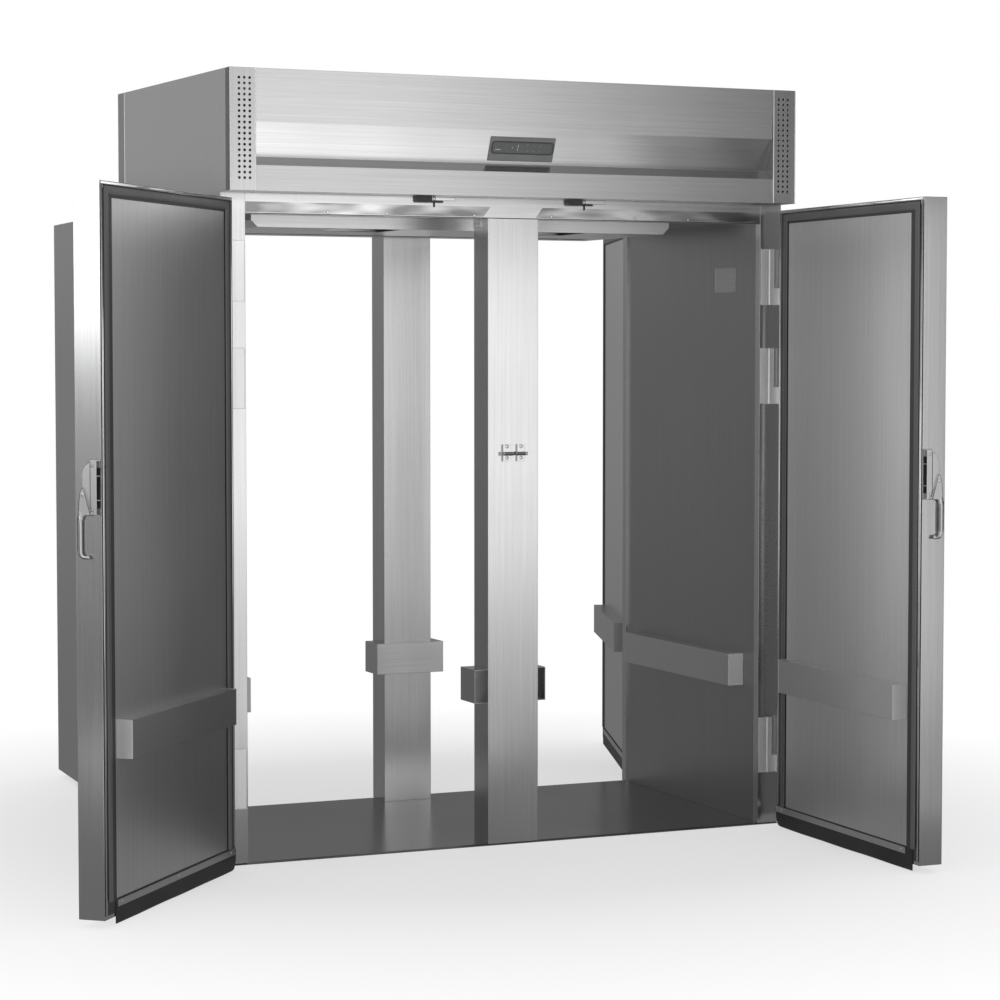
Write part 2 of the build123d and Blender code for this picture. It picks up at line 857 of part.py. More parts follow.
def liner_edges():
    return (
        door_edge_free + free_border,
        door_edge_hinge - hinge_border,
        door_bottom + bottom_border,
        door_top - top_border,
    )


def door_liner():
    x0, x1, z0, z1 = liner_edges()
    return block(x0, x1, breaker_back, door_inner, z0, z1)


def door_gasket():
    """Black border strips with a raised sealing bellows on the top and both sides."""
    x0, x1, z0, z1 = liner_edges()
    low, high = door_bottom + door_lip, door_top - door_lip
    left, right = door_edge_free + free_lip, door_edge_hinge - door_lip
    crest = breaker_face + bellows_height - breaker_proud
    wide = bellows_width
    bellows_low = bar_top + 2
    seal_top = bellows_top_start + wide
    free_side = block(left, x0, breaker_back, breaker_face, low, high)
    start = bellows_free_start
    free_side += block(start, start + wide, breaker_face, crest, bellows_low, seal_top)
    hinge_side = block(x1, right, breaker_back, breaker_face, low, high)
    start = bellows_hinge_start
    hinge_side += block(start, start + wide, breaker_face, crest, bellows_low, seal_top)
    top = block(x0, x1, breaker_back, breaker_face, z1, high)
    top += block(
        bellows_free_start + wide,
        bellows_hinge_start,
        breaker_face,
        crest,
        bellows_top_start,
        seal_top,
    ) & block(x0, x1, breaker_face, crest, z1, high)
    bottom = block(x0, x1, breaker_back, breaker_face, low, z0)
    return [free_side, hinge_side, top, bottom]


def door_bumper():
    """A channel across the inside of the door, with a cap at each end."""
    x0, x1 = door_bumper_span
    low, high = door_bumper_heights
    front, rear = door_inner, door_inner + door_bumper_depth
    skin = bumper_sheet
    channel = block(x0, x1, front, rear, low, high)
    channel -= block(x0 - 1, x1 + 1, front - 1, rear - skin, low + skin, high - skin)
    caps = [
        block(x0 - bumper_cap, x0, front, rear, low, high),
        block(x1, x1 + bumper_cap, front, rear, low, high),
    ]
    return [channel] + caps


def door_sweep(start):
    """The rubber flap that hangs below the door, with a round corner at the hinge end."""
    rear = breaker_face + flap_thickness
    flap = block(start, flap_end, breaker_face, rear, flap_bottom, flap_top)
    corner = flap.edges().filter_by(Axis.Y).group_by(Axis.Z)[0].sort_by(Axis.X)[-1]
    return fillet(corner, flap_corner)


def sweep_bar():
    """The metal bar that clamps the flap, with its three screws."""
    front = breaker_face + flap_thickness
    rear = front + bar_thickness
    middle = (bar_bottom + bar_top) / 2
    pieces = [block(bar_start, bar_end, front, rear, bar_bottom, bar_top)]
    for x in bar_screws:
        pieces.append(rod((x, rear, middle), (x, rear + screw_height, middle), screw_radius))
    return pieces


def hinge_strap(bottom):
    """The moving half of one hinge: a strap on the door's edge with the upper knuckle."""
    low = bottom + lower_knuckle + knuckle_gap
    top = bottom + hinge_height
    edge = door_edge_hinge
    rear = door_inner - 2
    strap = block(edge, edge + strap_thickness, rear - strap_width, rear, low, top)
    half = knuckle_radius
    web = block(edge + strap_thickness, pivot_x, pivot_y - half, pivot_y + half / 2, low, top)
    knuckle = rod((pivot_x, pivot_y, low), (pivot_x, pivot_y, top), knuckle_radius)
    bore = rod((pivot_x, pivot_y, low - 1), (pivot_x, pivot_y, top + 1), pin_radius + pin_clearance)
    return (strap + web + knuckle) - bore


def latch_case():
    """The latch body on the door's free edge: a slotted catch plate and a rounded housing."""
    edge = door_edge_free
    near, far = (door_outer + depth for depth in latch_face_depths)
    slot = latch_slot_back
    low, high = latch_bottom, latch_top
    base = block(edge - latch_base, edge, near, far, low, high)
    body = block(edge - latch_rise, edge - latch_base, near, far, low, high)
    body -= block(edge - latch_rise - 1, edge - latch_base, slot, far + 1, slot_bottom, slot_top)
    for z in (slot_bottom + 20, slot_top - 20):
        bar_x = edge - latch_base - 1.5
        body += rod((bar_x, slot - 1, z), (bar_x, far, z), 1.2)
    outer, inner = (door_outer + depth for depth in housing_depths)
    line = Polyline((inner, housing_top), (inner, low), (outer, low), (outer, housing_shoulder))
    arc = ThreePointArc((outer, housing_shoulder), (outer + 6, housing_top - 12), (inner, housing_top))
    housing_face = make_face(line + arc)
    housing = Pos(edge - housing_rise, 0, 0) * extrude(Plane.YZ * housing_face, housing_rise)
    pivot_depth = door_outer + handle_pivot_depth
    face = edge - housing_rise
    pin_end = face - handle_gap - handle_plate
    height = handle_pivot_height
    pin = rod((face + 4, pivot_depth, height), (pin_end, pivot_depth, height), handle_pin_radius)
    head = rod((pin_end - 0.3, pivot_depth, height), (pin_end - 1.8, pivot_depth, height), 5)
    stem = rod((pin_end, pivot_depth, height), (pin_end - 0.3, pivot_depth, height), handle_pin_radius)
    screws = []
    screw_y = near + 5
    for z in (high - 14, low + 14, low + 5):
        front = edge - latch_rise
        screws.append(rod((front, screw_y, z), (front - screw_height, screw_y, z), screw_radius))
    return [base + body, housing + pin + stem + head] + screws


def door_hardware():
    """Everything bright that is screwed to the door: hinge straps, latch case and sweep bar."""
    return [hinge_strap(bottom) for bottom in hinge_bottoms] + latch_case() + sweep_bar()


def door_handle():
    """The latch lever: a three-cornered plate on the pivot and a grip that hooks back below."""
    outer_plane = door_outer
    face = door_edge_free - housing_rise - handle_gap
    plate_points = (
        (outer_plane + 23.5, 1084),
        (outer_plane + 18, 1072),
        (outer_plane + 15, 1049),
        (outer_plane + grip_depths[0], 1018),
        (outer_plane + grip_depths[0], 1012),
        (outer_plane + grip_depths[1], 1012),
        (outer_plane + 27.5, 1017),
        (outer_plane + 46.5, 1018),
        (outer_plane + 26, 1083),
    )
    plate = side_profile(plate_points, face - handle_plate, face)
    grip_inner = face
    grip_outer = grip_inner - grip_thickness
    near, far = (outer_plane + depth for depth in grip_depths)
    grip = block(grip_outer, grip_inner, near, far, grip_bottom, grip_top)
    hook = block(grip_outer, grip_inner, far, outer_plane + hook_depth, grip_bottom, grip_bottom + grip_thickness)
    grip = fillet((grip + hook).edges().filter_by(Axis.X), 3.5)
    plate_bore = handle_pin_radius + handle_pin_clearance
    pivot = (outer_plane + handle_pivot_depth, handle_pivot_height)
    bore = rod((face - handle_plate - 1, *pivot), (face + 1, *pivot), plate_bore)
    return (plate - bore) + grip


def place_on_door(shape, side, end):
    """Moves a piece from the closed right front door to another door, at its open angle."""
    if side == "left":
        shape = shape.mirror(Plane.YZ)
    if end == "rear":
        shape = shape.mirror(Plane.XZ)
    x = pivot_x if side == "right" else -pivot_x
    y = pivot_y if end == "front" else -pivot_y
    turn = 1 if (side == "right") == (end == "front") else -1
    return shape.rotate(Axis((x, y, 0), (0, 0, 1)), turn * opening_angles[side, end])


def save_doors():
    makers = {
        "shell": door_shell,
        "core": door_core,
        "liner": door_liner,
        "gasket": door_gasket,
        "bumper": door_bumper,
        "hardware": door_hardware,
        "handle": door_handle,
    }
    for label, maker in makers.items():
        made = maker()
        pieces = made if isinstance(made, list) else [made]
        for side, end in opening_angles:
            placed = [place_on_door(piece, side, end) for piece in pieces]
            save(f"{side}_{end}_door_{label}", placed)
    for side, end in opening_angles:
        flap = door_sweep(flap_starts[side])
        save(f"{side}_{end}_door_sweep", place_on_door(flap, side, end))


def save_fans():
    for side, x in (("left", -fan_x), ("right", fan_x)):
        save(f"evaporator_fan_{side}", Pos(x, fan_y, fan_height) * fan_wheel())
    wheel = Rot(0, -90, 0) * fan_wheel()
    hub_inset = 14.0
    save("condenser_fan", Pos(shroud_face + hub_inset, condenser_y, condenser_height) * wheel)


os.makedirs("parts", exist_ok=True)
right_wall = side_wall()
save("right_side_wall", right_wall)
save("left_side_wall", right_wall.mirror(Plane.YZ))
fixed_parts = {
    "floor_pan": floor_pan,
    "interior_liner": interior_liner,
    "cabinet_insulation": cabinet_insulation,
    "head_rails": head_rails,
    "mullions": mullions,
    "mullion_bumpers": mullion_bumpers,
    "wall_bumpers": wall_bumpers,
    "hinge_leaves": hinge_leaves,
    "strikes": strikes,
    "door_switches": door_switches,
    "vent_strips": vent_strips,
    "canopy_side_panels": canopy_side_panels,
    "front_fascia": front_fascia,
    "rear_fascia": rear_fascia,
    "control_panel": control_panel,
    "top_panel": top_panel,
    "machine_deck": machine_deck,
    "air_duct_panel": air_duct_panel,
    "evaporator_cover": evaporator_cover,
    "evaporator_coil": evaporator_coil,
    "compressor": compressor,
    "condenser_unit": condenser_unit,
    "refrigerant_lines": refrigerant_lines,
}
for name, maker in fixed_parts.items():
    save(name, maker())
save_fans()
save_doors()
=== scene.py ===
import math

import bmesh
import bpy
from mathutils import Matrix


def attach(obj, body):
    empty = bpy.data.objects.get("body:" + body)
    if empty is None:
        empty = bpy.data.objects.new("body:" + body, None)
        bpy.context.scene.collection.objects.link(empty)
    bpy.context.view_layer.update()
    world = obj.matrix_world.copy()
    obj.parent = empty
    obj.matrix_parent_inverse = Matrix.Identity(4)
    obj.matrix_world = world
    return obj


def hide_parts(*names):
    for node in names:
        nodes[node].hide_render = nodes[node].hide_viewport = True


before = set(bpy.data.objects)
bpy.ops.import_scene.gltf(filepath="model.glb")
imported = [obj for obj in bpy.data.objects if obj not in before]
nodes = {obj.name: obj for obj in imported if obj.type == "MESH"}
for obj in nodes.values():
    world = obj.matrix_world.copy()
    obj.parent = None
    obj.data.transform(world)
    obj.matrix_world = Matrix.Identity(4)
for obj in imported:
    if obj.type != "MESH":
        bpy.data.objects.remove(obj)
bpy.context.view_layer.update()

# Camera, solved from the straight edges in the photograph
CAMERA_PLACE = (-3.2065, -7.6474, 1.4189)
CAMERA_TURN = (86.888, 0.0, -23.759)
CAMERA_LENS = 99.36

DOORS = [(side, end) for end in ("front", "rear") for side in ("left", "right")]
OPEN_ANGLES = {
    ("left", "front"): 131.1,
    ("right", "front"): 88.5,
    ("left", "rear"): 87.0,
    ("right", "rear"): 110.0,
}
PIVOT = (0.868, 0.488)

# Levels of the closed right front door, which every door's pieces are drawn on before they are placed
INNER_FACE = -0.462
OUTER_FACE = -0.532
FREE_EDGE = 0.036
HINGE_EDGE = 0.856
PANEL_SPAN = (0.104, 0.800)
PANEL_HEIGHTS = (0.066, 1.789)
BORDER_SPAN = (0.056, 0.846)
BORDER_HEIGHTS = (0.032, 1.819)
BORDER_RISE = 0.0005
SEAL_LINES = (0.069, 0.817)
SEAL_TOP = 1.806
SEAL_FOOT = 0.064
SEAL_HALF_WIDTH = 0.011
SEAL_RISE = 0.0045
FLAP_STARTS = {"left": 0.095, "right": 0.068}
FLAP_END = 0.855
LATCH_DEPTHS = (0.042, 0.068)
LATCH_HEIGHTS = (1.017, 1.152)
DOOR_BUMPER = ((0.118, 0.772), (0.412, 0.509), 0.040)
WALL_BUMPER = (0.756, 0.806, 0.351, (0.409, 0.505))
CAP_THICKNESS = 0.0036
CAP_LAP = 0.0004

# Bevels of thin slabs, and of the bumpers' end caps
HAIR_EDGE = 0.00005
FINE_EDGE = 0.0001
THIN_EDGE = 0.0002
CAP_EDGE = 0.0012

# Sections as shares of the half width and of the height
BELLOWS = ((-1, 0), (-0.9, 0.55), (-0.62, 0.92), (-0.2, 1), (0.35, 0.97), (0.7, 0.85), (0.93, 0.5), (1, 0))
BEAD = (
    (-1, -0.2), (-1, 0), (-0.9, 0.45), (-0.6, 0.8), (-0.2, 0.98),
    (0.2, 0.98), (0.6, 0.8), (0.9, 0.45), (1, 0), (1, -0.2),
)


def node(tree, kind, **settings):
    """Adds a shader node and fills in its settings and unlinked inputs."""
    made = tree.nodes.new("ShaderNode" + kind)
    for key, value in settings.items():
        if isinstance(key, str) and hasattr(made, key):
            setattr(made, key, value)
        else:
            made.inputs[key.replace("_", " ")].default_value = value
    return made


def start_material(name):
    """A new material, with its node tree and its shader."""
    material = bpy.data.materials.new(name)
    material.use_nodes = True
    tree = material.node_tree
    shader = tree.nodes["Principled BSDF"]
    return material, tree, shader


def stretched_noise(tree, scale, detail=2.0, offset=(0, 0, 0)):
    """Noise over the part's own coordinates, with one frequency for each axis."""
    place = node(tree, "TexCoord")
    mapping = node(tree, "Mapping")
    mapping.inputs["Scale"].default_value = scale
    mapping.inputs["Location"].default_value = offset
    noise = node(tree, "TexNoise", Scale=1.0, Detail=detail)
    tree.links.new(place.outputs["Object"], mapping.inputs["Vector"])
    tree.links.new(mapping.outputs["Vector"], noise.inputs["Vector"])
    return noise.outputs["Fac"]


def spread(tree, factor, low, high, start=0.3, stop=0.7):
    """Maps a noise factor onto a range of plain numbers."""
    made = node(tree, "MapRange")
    made.inputs["From Min"].default_value = start
    made.inputs["From Max"].default_value = stop
    made.inputs["To Min"].default_value = low
    made.inputs["To Max"].default_value = high
    tree.links.new(factor, made.inputs["Value"])
    return made.outputs["Result"]


def shade_mix(tree, factor, first, second):
    """A colour between two greys or colours."""
    made = node(tree, "Mix", data_type="RGBA")
    made.inputs[6].default_value = (*first, 1)
    made.inputs[7].default_value = (*second, 1)
    tree.links.new(factor, made.inputs[0])
    return made.outputs[2]


def bump(tree, shader, heights, normal=None):
    """Stacks bumps on a normal, each a factor with its depth in metres."""
    for factor, depth in heights:
        made = node(tree, "Bump", Strength=1.0, Distance=depth)
        tree.links.new(factor, made.inputs["Height"])
        if normal:
            tree.links.new(normal, made.inputs["Normal"])
        normal = made.outputs["Normal"]
    tree.links.new(normal, shader.inputs["Normal"])


def steel(name, tone, rough, along="Z", grain=0.06, wave=0.0012, wave_scale=(1.6, 1.6, 1.1), fold=0.002):
    """Brushed stainless sheet: fine lines along one axis, cloudy sheen, a gentle wave and round folds."""
    material, tree, shader = start_material(name)
    fine = [900.0, 900.0, 900.0]
    fine["XYZ".index(along)] = 6.0
    coarse = [160.0, 160.0, 160.0]
    coarse["XYZ".index(along)] = 1.4
    lines = stretched_noise(tree, fine, 3.0)
    streaks = stretched_noise(tree, coarse, 2.0)
    cloud = stretched_noise(tree, (2.3, 2.3, 1.7), 3.0)
    mixed = node(tree, "Math", operation="ADD")
    tree.links.new(lines, mixed.inputs[0])
    tree.links.new(streaks, mixed.inputs[1])
    factor = spread(tree, mixed.outputs[0], 0.0, 1.0, 0.7, 1.3)
    low, high = tone * (1 - grain), tone * (1 + grain)
    dark = [low, low, low * 1.005]
    light = [high, high, high * 1.01]
    tree.links.new(shade_mix(tree, factor, dark, light), shader.inputs["Base Color"])
    tree.links.new(spread(tree, cloud, rough - 0.03, rough + 0.03), shader.inputs["Roughness"])
    shader.inputs["Metallic"].default_value = 1.0
    waves = stretched_noise(tree, wave_scale, 1.0, (3.1, 1.7, 0.4))
    folds = node(tree, "Bevel", Radius=fold)
    folds.samples = 4
    bump(tree, shader, [(waves, wave), (lines, 0.000012)], folds.outputs["Normal"])
    return material


def painted_ripples(name, dark, light, rough, scale):
    """Polished sheet that has buckled a little, with a wavy face: broad dark and light patches in its colour
    are painted reflections of the waves.
    """
    material, tree, shader = start_material(name)
    patches = stretched_noise(tree, scale, 1.0, (2.3, 0.4, 1.9))
    tone = shade_mix(tree, spread(tree, patches, 0, 1, 0.38, 0.62), dark, light)
    tree.links.new(tone, shader.inputs["Base Color"])
    tree.links.new(spread(tree, patches, rough - 0.03, rough + 0.03), shader.inputs["Roughness"])
    shader.inputs["Metallic"].default_value = 1.0
    bump(tree, shader, [(patches, 0.0004)])
    return material


def soft(name, dark, light, rough, scale=(60, 60, 60), depth=0.0001, specular=0.5):
    """Rubber, plastic or paint: a slightly mottled colour with a fine grain."""
    material, tree, shader = start_material(name)
    mottle = stretched_noise(tree, [s * 0.2 for s in scale], 3.0)
    grain = stretched_noise(tree, scale, 2.0)
    tree.links.new(shade_mix(tree, spread(tree, mottle, 0.0, 1.0), dark, light), shader.inputs["Base Color"])
    tree.links.new(spread(tree, mottle, rough - 0.05, rough + 0.05), shader.inputs["Roughness"])
    shader.inputs["Specular IOR Level"].default_value = specular
    bump(tree, shader, [(grain, depth)])
    return material


post_steel = steel("post_steel", 0.56, 0.20, "Z")
fascia_steel = steel("fascia_steel", 0.58, 0.235, "X", wave_scale=(1.1, 1.6, 1.6))
# liner_steel and door_steel are darker and lighter copies of one stainless: painted shade on the cabinet's
# inner walls and machine deck, and painted light on the doors' liners.
liner_steel = steel("liner_steel", 0.38, 0.32, "Z")
door_steel = steel("door_steel", 0.72, 0.33, "Z", wave=0.0003, wave_scale=(0.8, 0.8, 0.5))
duct_steel = steel("duct_steel", 0.86, 0.34, "X")
floor_steel = steel("floor_steel", 0.30, 0.22, "X")
rail_steel = steel("rail_steel", 0.56, 0.18, "X", wave=0.002, wave_scale=(3.0, 3.0, 9.0))
strip_steel = steel("strip_steel", 0.50, 0.23, "Z")
bumper_steel = steel("bumper_steel", 0.60, 0.32, "X", wave=0.0004)
bright_steel = steel("bright_steel", 0.72, 0.12, "Z", grain=0.03, wave=0.0)
cast_steel = steel("cast_steel", 0.60, 0.32, "Z", grain=0.04, wave=0.0)
leaf_steel = steel("leaf_steel", 0.85, 0.48, "Z", grain=0.04, wave=0.0)
# Dark steel over the strikes' rollers is painted shade; it also makes the dark rings round the strikes'
# screws.
roller_steel = steel("roller_steel", 0.16, 0.22, "X", grain=0.04, wave=0.0)
band_steel = steel("band_steel", 0.30, 0.36, "X", grain=0.10, wave=0.0)
# Its dark and light patches are painted reflections of a buckled face.
painted_ripple_steel = painted_ripples("painted_ripple_steel", (0.20, 0.20, 0.20), (0.62, 0.62, 0.62), 0.20, (6.0, 1.0, 26.0))
# A darker copy of the fascia steel: painted shade on the ledge under the sloping band; it also makes the
# covers on the canopy's rear returns.
darker_fascia_steel = steel("darker_fascia_steel", 0.36, 0.235, "X", wave_scale=(1.1, 1.6, 1.6))
# Dark steel: painted shade in the latch's slot, and the darker covers on the canopy's front returns.
dim_steel = steel("dim_steel", 0.17, 0.23, "Z", grain=0.04, wave=0.0)
rubber = soft("rubber", (0.012, 0.012, 0.013), (0.030, 0.030, 0.031), 0.45)
black_plastic = soft("black_plastic", (0.02, 0.02, 0.02), (0.035, 0.035, 0.035), 0.35)
panel_plastic = soft("panel_plastic", (0.16, 0.16, 0.165), (0.20, 0.20, 0.205), 0.32)
white_plastic = soft("white_plastic", (0.70, 0.70, 0.69), (0.76, 0.76, 0.75), 0.4)
foam = soft("foam", (0.62, 0.56, 0.40), (0.74, 0.68, 0.50), 0.85, (300, 300, 300), 0.0004)
black_paint = soft("black_paint", (0.012, 0.012, 0.012), (0.022, 0.022, 0.022), 0.3)
fan_plastic = soft("fan_plastic", (0.05, 0.05, 0.052), (0.08, 0.08, 0.082), 0.4)
fin_metal = steel("fin_metal", 0.72, 0.35, "Z", wave=0.0)
copper = soft("copper", (0.50, 0.22, 0.12), (0.66, 0.33, 0.20), 0.32, (40, 40, 40), 0.00002)
copper.node_tree.nodes["Principled BSDF"].inputs["Metallic"].default_value = 1.0
groove = soft("groove", (0.004, 0.004, 0.004), (0.009, 0.009, 0.009), 0.6, specular=0.2)
border_vinyl = soft("border_vinyl", (0.028, 0.028, 0.029), (0.044, 0.044, 0.045), 0.46, (24, 24, 3), 0.0002)
seal_vinyl = soft("seal_vinyl", (0.085, 0.085, 0.086), (0.125, 0.125, 0.126), 0.38, (24, 24, 3), 0.0002)
cap_plastic = soft("cap_plastic", (0.50, 0.50, 0.50), (0.60, 0.60, 0.60), 0.35, (30, 30, 30), 0.00005)
grip_steel = steel("grip_steel", 0.46, 0.20, "Z", grain=0.02, wave=0.0, fold=0.0003)
lip_steel = steel("lip_steel", 0.90, 0.16, "Z", grain=0.02, wave=0.0, fold=0.0003)
# A very dark steel: painted dark reflection on the door lip and round the lever's plate, and painted shade
# along the lever's grip.
painted_dark_steel = steel("painted_dark_steel", 0.05, 0.32, "Z", grain=0.04, wave=0.0, fold=0.0003)
label_metal = steel("label_metal", 0.62, 0.42, "Y", wave=0.0)
screen = soft("screen", (0.060, 0.066, 0.062), (0.105, 0.120, 0.108), 0.14, (9, 9, 9), 0.00001)
lit_mark = soft("lit_mark", (0.55, 0.55, 0.55), (0.72, 0.72, 0.72), 0.5, (200, 200, 200), 0.00001)
dim_mark = soft("dim_mark", (0.24, 0.24, 0.24), (0.34, 0.34, 0.34), 0.5, (200, 200, 200), 0.00001)

looks = {
    "floor_pan": floor_steel,
    "left_side_wall": post_steel,
    "right_side_wall": post_steel,
    "interior_liner": liner_steel,
    "cabinet_insulation": foam,
    "head_rails": rail_steel,
    "mullions": post_steel,
    "mullion_bumpers": fascia_steel,
    "wall_bumpers": bumper_steel,
    "hinge_leaves": leaf_steel,
    "strikes": post_steel,
    "door_switches": black_plastic,
    "vent_strips": strip_steel,
    "canopy_side_panels": fascia_steel,
    "front_fascia": fascia_steel,
    "rear_fascia": fascia_steel,
    "control_panel": panel_plastic,
    "top_panel": fascia_steel,
    "machine_deck": liner_steel,
    "air_duct_panel": duct_steel,
    "evaporator_cover": white_plastic,
    "evaporator_coil": fin_metal,
    "compressor": black_paint,
    "condenser_unit": fin_metal,
    "refrigerant_lines": copper,
    "evaporator_fan_left": fan_plastic,
    "evaporator_fan_right": fan_plastic,
    "condenser_fan": fan_plastic,
}
door_looks = {
    "shell": post_steel,
    "core": foam,
    "liner": door_steel,
    "gasket": rubber,
    "bumper": bumper_steel,
    "sweep": rubber,
    "hardware": cast_steel,
    "handle": bright_steel,
}
for side, end in DOORS:
    for part, look in door_looks.items():
        looks[f"{side}_{end}_door_{part}"] = look
for name, look in looks.items():
    slots = nodes[name].data.materials
    slots.clear()
    slots.append(look)


def set_camera():
    """The camera at the photograph's viewing angle."""
    data = bpy.data.cameras.new("camera")
    data.lens = CAMERA_LENS
    data.sensor_width = 36.0
    camera = bpy.data.objects.new("camera", data)
    camera.location = CAMERA_PLACE
    camera.rotation_euler = [math.radians(a) for a in CAMERA_TURN]
    bpy.context.scene.collection.objects.link(camera)
    bpy.context.scene.camera = camera


def seen_rays(tree):
    """1 for rays from the camera, from gloss and through glass, and 0 for diffuse light."""
    path = node(tree, "LightPath")
    both = node(tree, "Math", operation="MAXIMUM")
    tree.links.new(path.outputs["Is Camera Ray"], both.inputs[0])
    tree.links.new(path.outputs["Is Glossy Ray"], both.inputs[1])
    every = node(tree, "Math", operation="MAXIMUM")
    tree.links.new(both.outputs[0], every.inputs[0])
    tree.links.new(path.outputs["Is Transmission Ray"], every.inputs[1])
    return every.outputs[0]


def set_world():
    """White where it is seen, and a plainer level for the light that it gives."""
    world = bpy.data.worlds.new("studio")
    bpy.context.scene.world = world
    world.use_nodes = True
    tree = world.node_tree
    tree.nodes.clear()
    light = node(tree, "Background", Color=(1, 1, 1, 1), Strength=0.75)
    white = node(tree, "Background", Color=(1, 1, 1, 1), Strength=1.0)
    mix = node(tree, "MixShader")
    out = node(tree, "OutputWorld")
    tree.links.new(seen_rays(tree), mix.inputs[0])
    tree.links.new(light.outputs[0], mix.inputs[1])
    tree.links.new(white.outputs[0], mix.inputs[2])
    tree.links.new(mix.outputs[0], out.inputs[0])


def plane(name, corners, material):
    """A flat face between its corners."""
    mesh = bpy.data.meshes.new(name)
    mesh.from_pydata(corners, [], [tuple(range(len(corners)))])
    piece = bpy.data.objects.new(name, mesh)
    bpy.context.scene.collection.objects.link(piece)
    mesh.materials.append(material)
    return piece


def set_floor():
    """Pale paper that takes the shadow and fades to white away from the cabinet."""
    material = bpy.data.materials.new("studio_floor")
    material.use_nodes = True
    tree = material.node_tree
    tree.nodes.clear()
    paper = node(tree, "BsdfDiffuse", Color=(0.84, 0.84, 0.84, 1))
    white = node(tree, "Emission", Color=(1, 1, 1, 1), Strength=1.0)
    place = node(tree, "TexCoord")
    length = node(tree, "VectorMath", operation="LENGTH")
    tree.links.new(place.outputs["Object"], length.inputs[0])
    far = spread(tree, length.outputs["Value"], 0.55, 1.0, 1.2, 2.6)
    fade = node(tree, "Math", operation="MULTIPLY")
    tree.links.new(far, fade.inputs[0])
    tree.links.new(seen_rays(tree), fade.inputs[1])
    mix = node(tree, "MixShader")
    out = node(tree, "OutputMaterial")
    tree.links.new(fade.outputs[0], mix.inputs[0])
    tree.links.new(paper.outputs[0], mix.inputs[1])
    tree.links.new(white.outputs[0], mix.inputs[2])
    tree.links.new(mix.outputs[0], out.inputs["Surface"])
    half = 4.05
    corners = [(-half, -half, 0), (half, -half, 0), (half, half, 0), (-half, half, 0)]
    plane("floor", corners, material)


def area_light(name, place, aim, size, power):
    """A soft lamp that faces its aim."""
    data = bpy.data.lights.new(name, "AREA")
    data.shape = "RECTANGLE"
    data.size, data.size_y = size
    data.energy = power
    lamp = bpy.data.objects.new(name, data)
    lamp.location = place
    direction = [a - p for a, p in zip(aim, place)]
    flat = math.hypot(direction[0], direction[1])
    lamp.rotation_euler = (math.atan2(flat, -direction[2]), 0, math.atan2(-direction[0], direction[1]))
    bpy.context.scene.collection.objects.link(lamp)


def card(name, corners, axis, stops):
    """A studio reflector that only gloss sees. Its brightness runs along one axis through the stops."""
    material = bpy.data.materials.new(name)
    material.use_nodes = True
    tree = material.node_tree
    tree.nodes.clear()
    place = node(tree, "TexCoord")
    parts = node(tree, "SeparateXYZ")
    tree.links.new(place.outputs["Object"], parts.inputs[0])
    first, last = stops[0][0], stops[-1][0]
    ramp = node(tree, "ValToRGB")
    ramp.color_ramp.interpolation = "EASE"
    along = spread(tree, parts.outputs["XYZ".index(axis)], 0.0, 1.0, first, last)
    tree.links.new(along, ramp.inputs[0])
    points = ramp.color_ramp.elements
    while len(points) < len(stops):
        points.new(0.5)
    for point, (where, bright) in zip(points, stops):
        point.position = (where - first) / (last - first)
        point.color = (bright, bright, bright, 1)
    glow = node(tree, "Emission", Strength=1.0)
    out = node(tree, "OutputMaterial")
    tree.links.new(ramp.outputs[0], glow.inputs["Color"])
    tree.links.new(glow.outputs[0], out.inputs["Surface"])
    piece = plane(name, corners, material)
    piece.visible_camera = False
    piece.visible_diffuse = False
    piece.visible_shadow = False


def upright(x0, y0, x1, y1, z0, z1):
    """Corners of a standing rectangle over a line on the floor."""
    return [(x0, y0, z0), (x1, y1, z0), (x1, y1, z1), (x0, y0, z1)]


def on_door(side, end):
    """Returns the map from the closed right front door to this door at its rest angle."""
    flip_x = 1 if side == "right" else -1
    flip_y = 1 if end == "front" else -1
    pivot_x, pivot_y = PIVOT[0] * flip_x, -PIVOT[1] * flip_y
    turn = math.radians(flip_x * flip_y * OPEN_ANGLES[side, end])
    cos, sin = math.cos(turn), math.sin(turn)

    def move(point):
        x, y = point[0] * flip_x - pivot_x, point[1] * flip_y - pivot_y
        return (pivot_x + cos * x - sin * y, pivot_y + sin * x + cos * y, point[2])

    return move


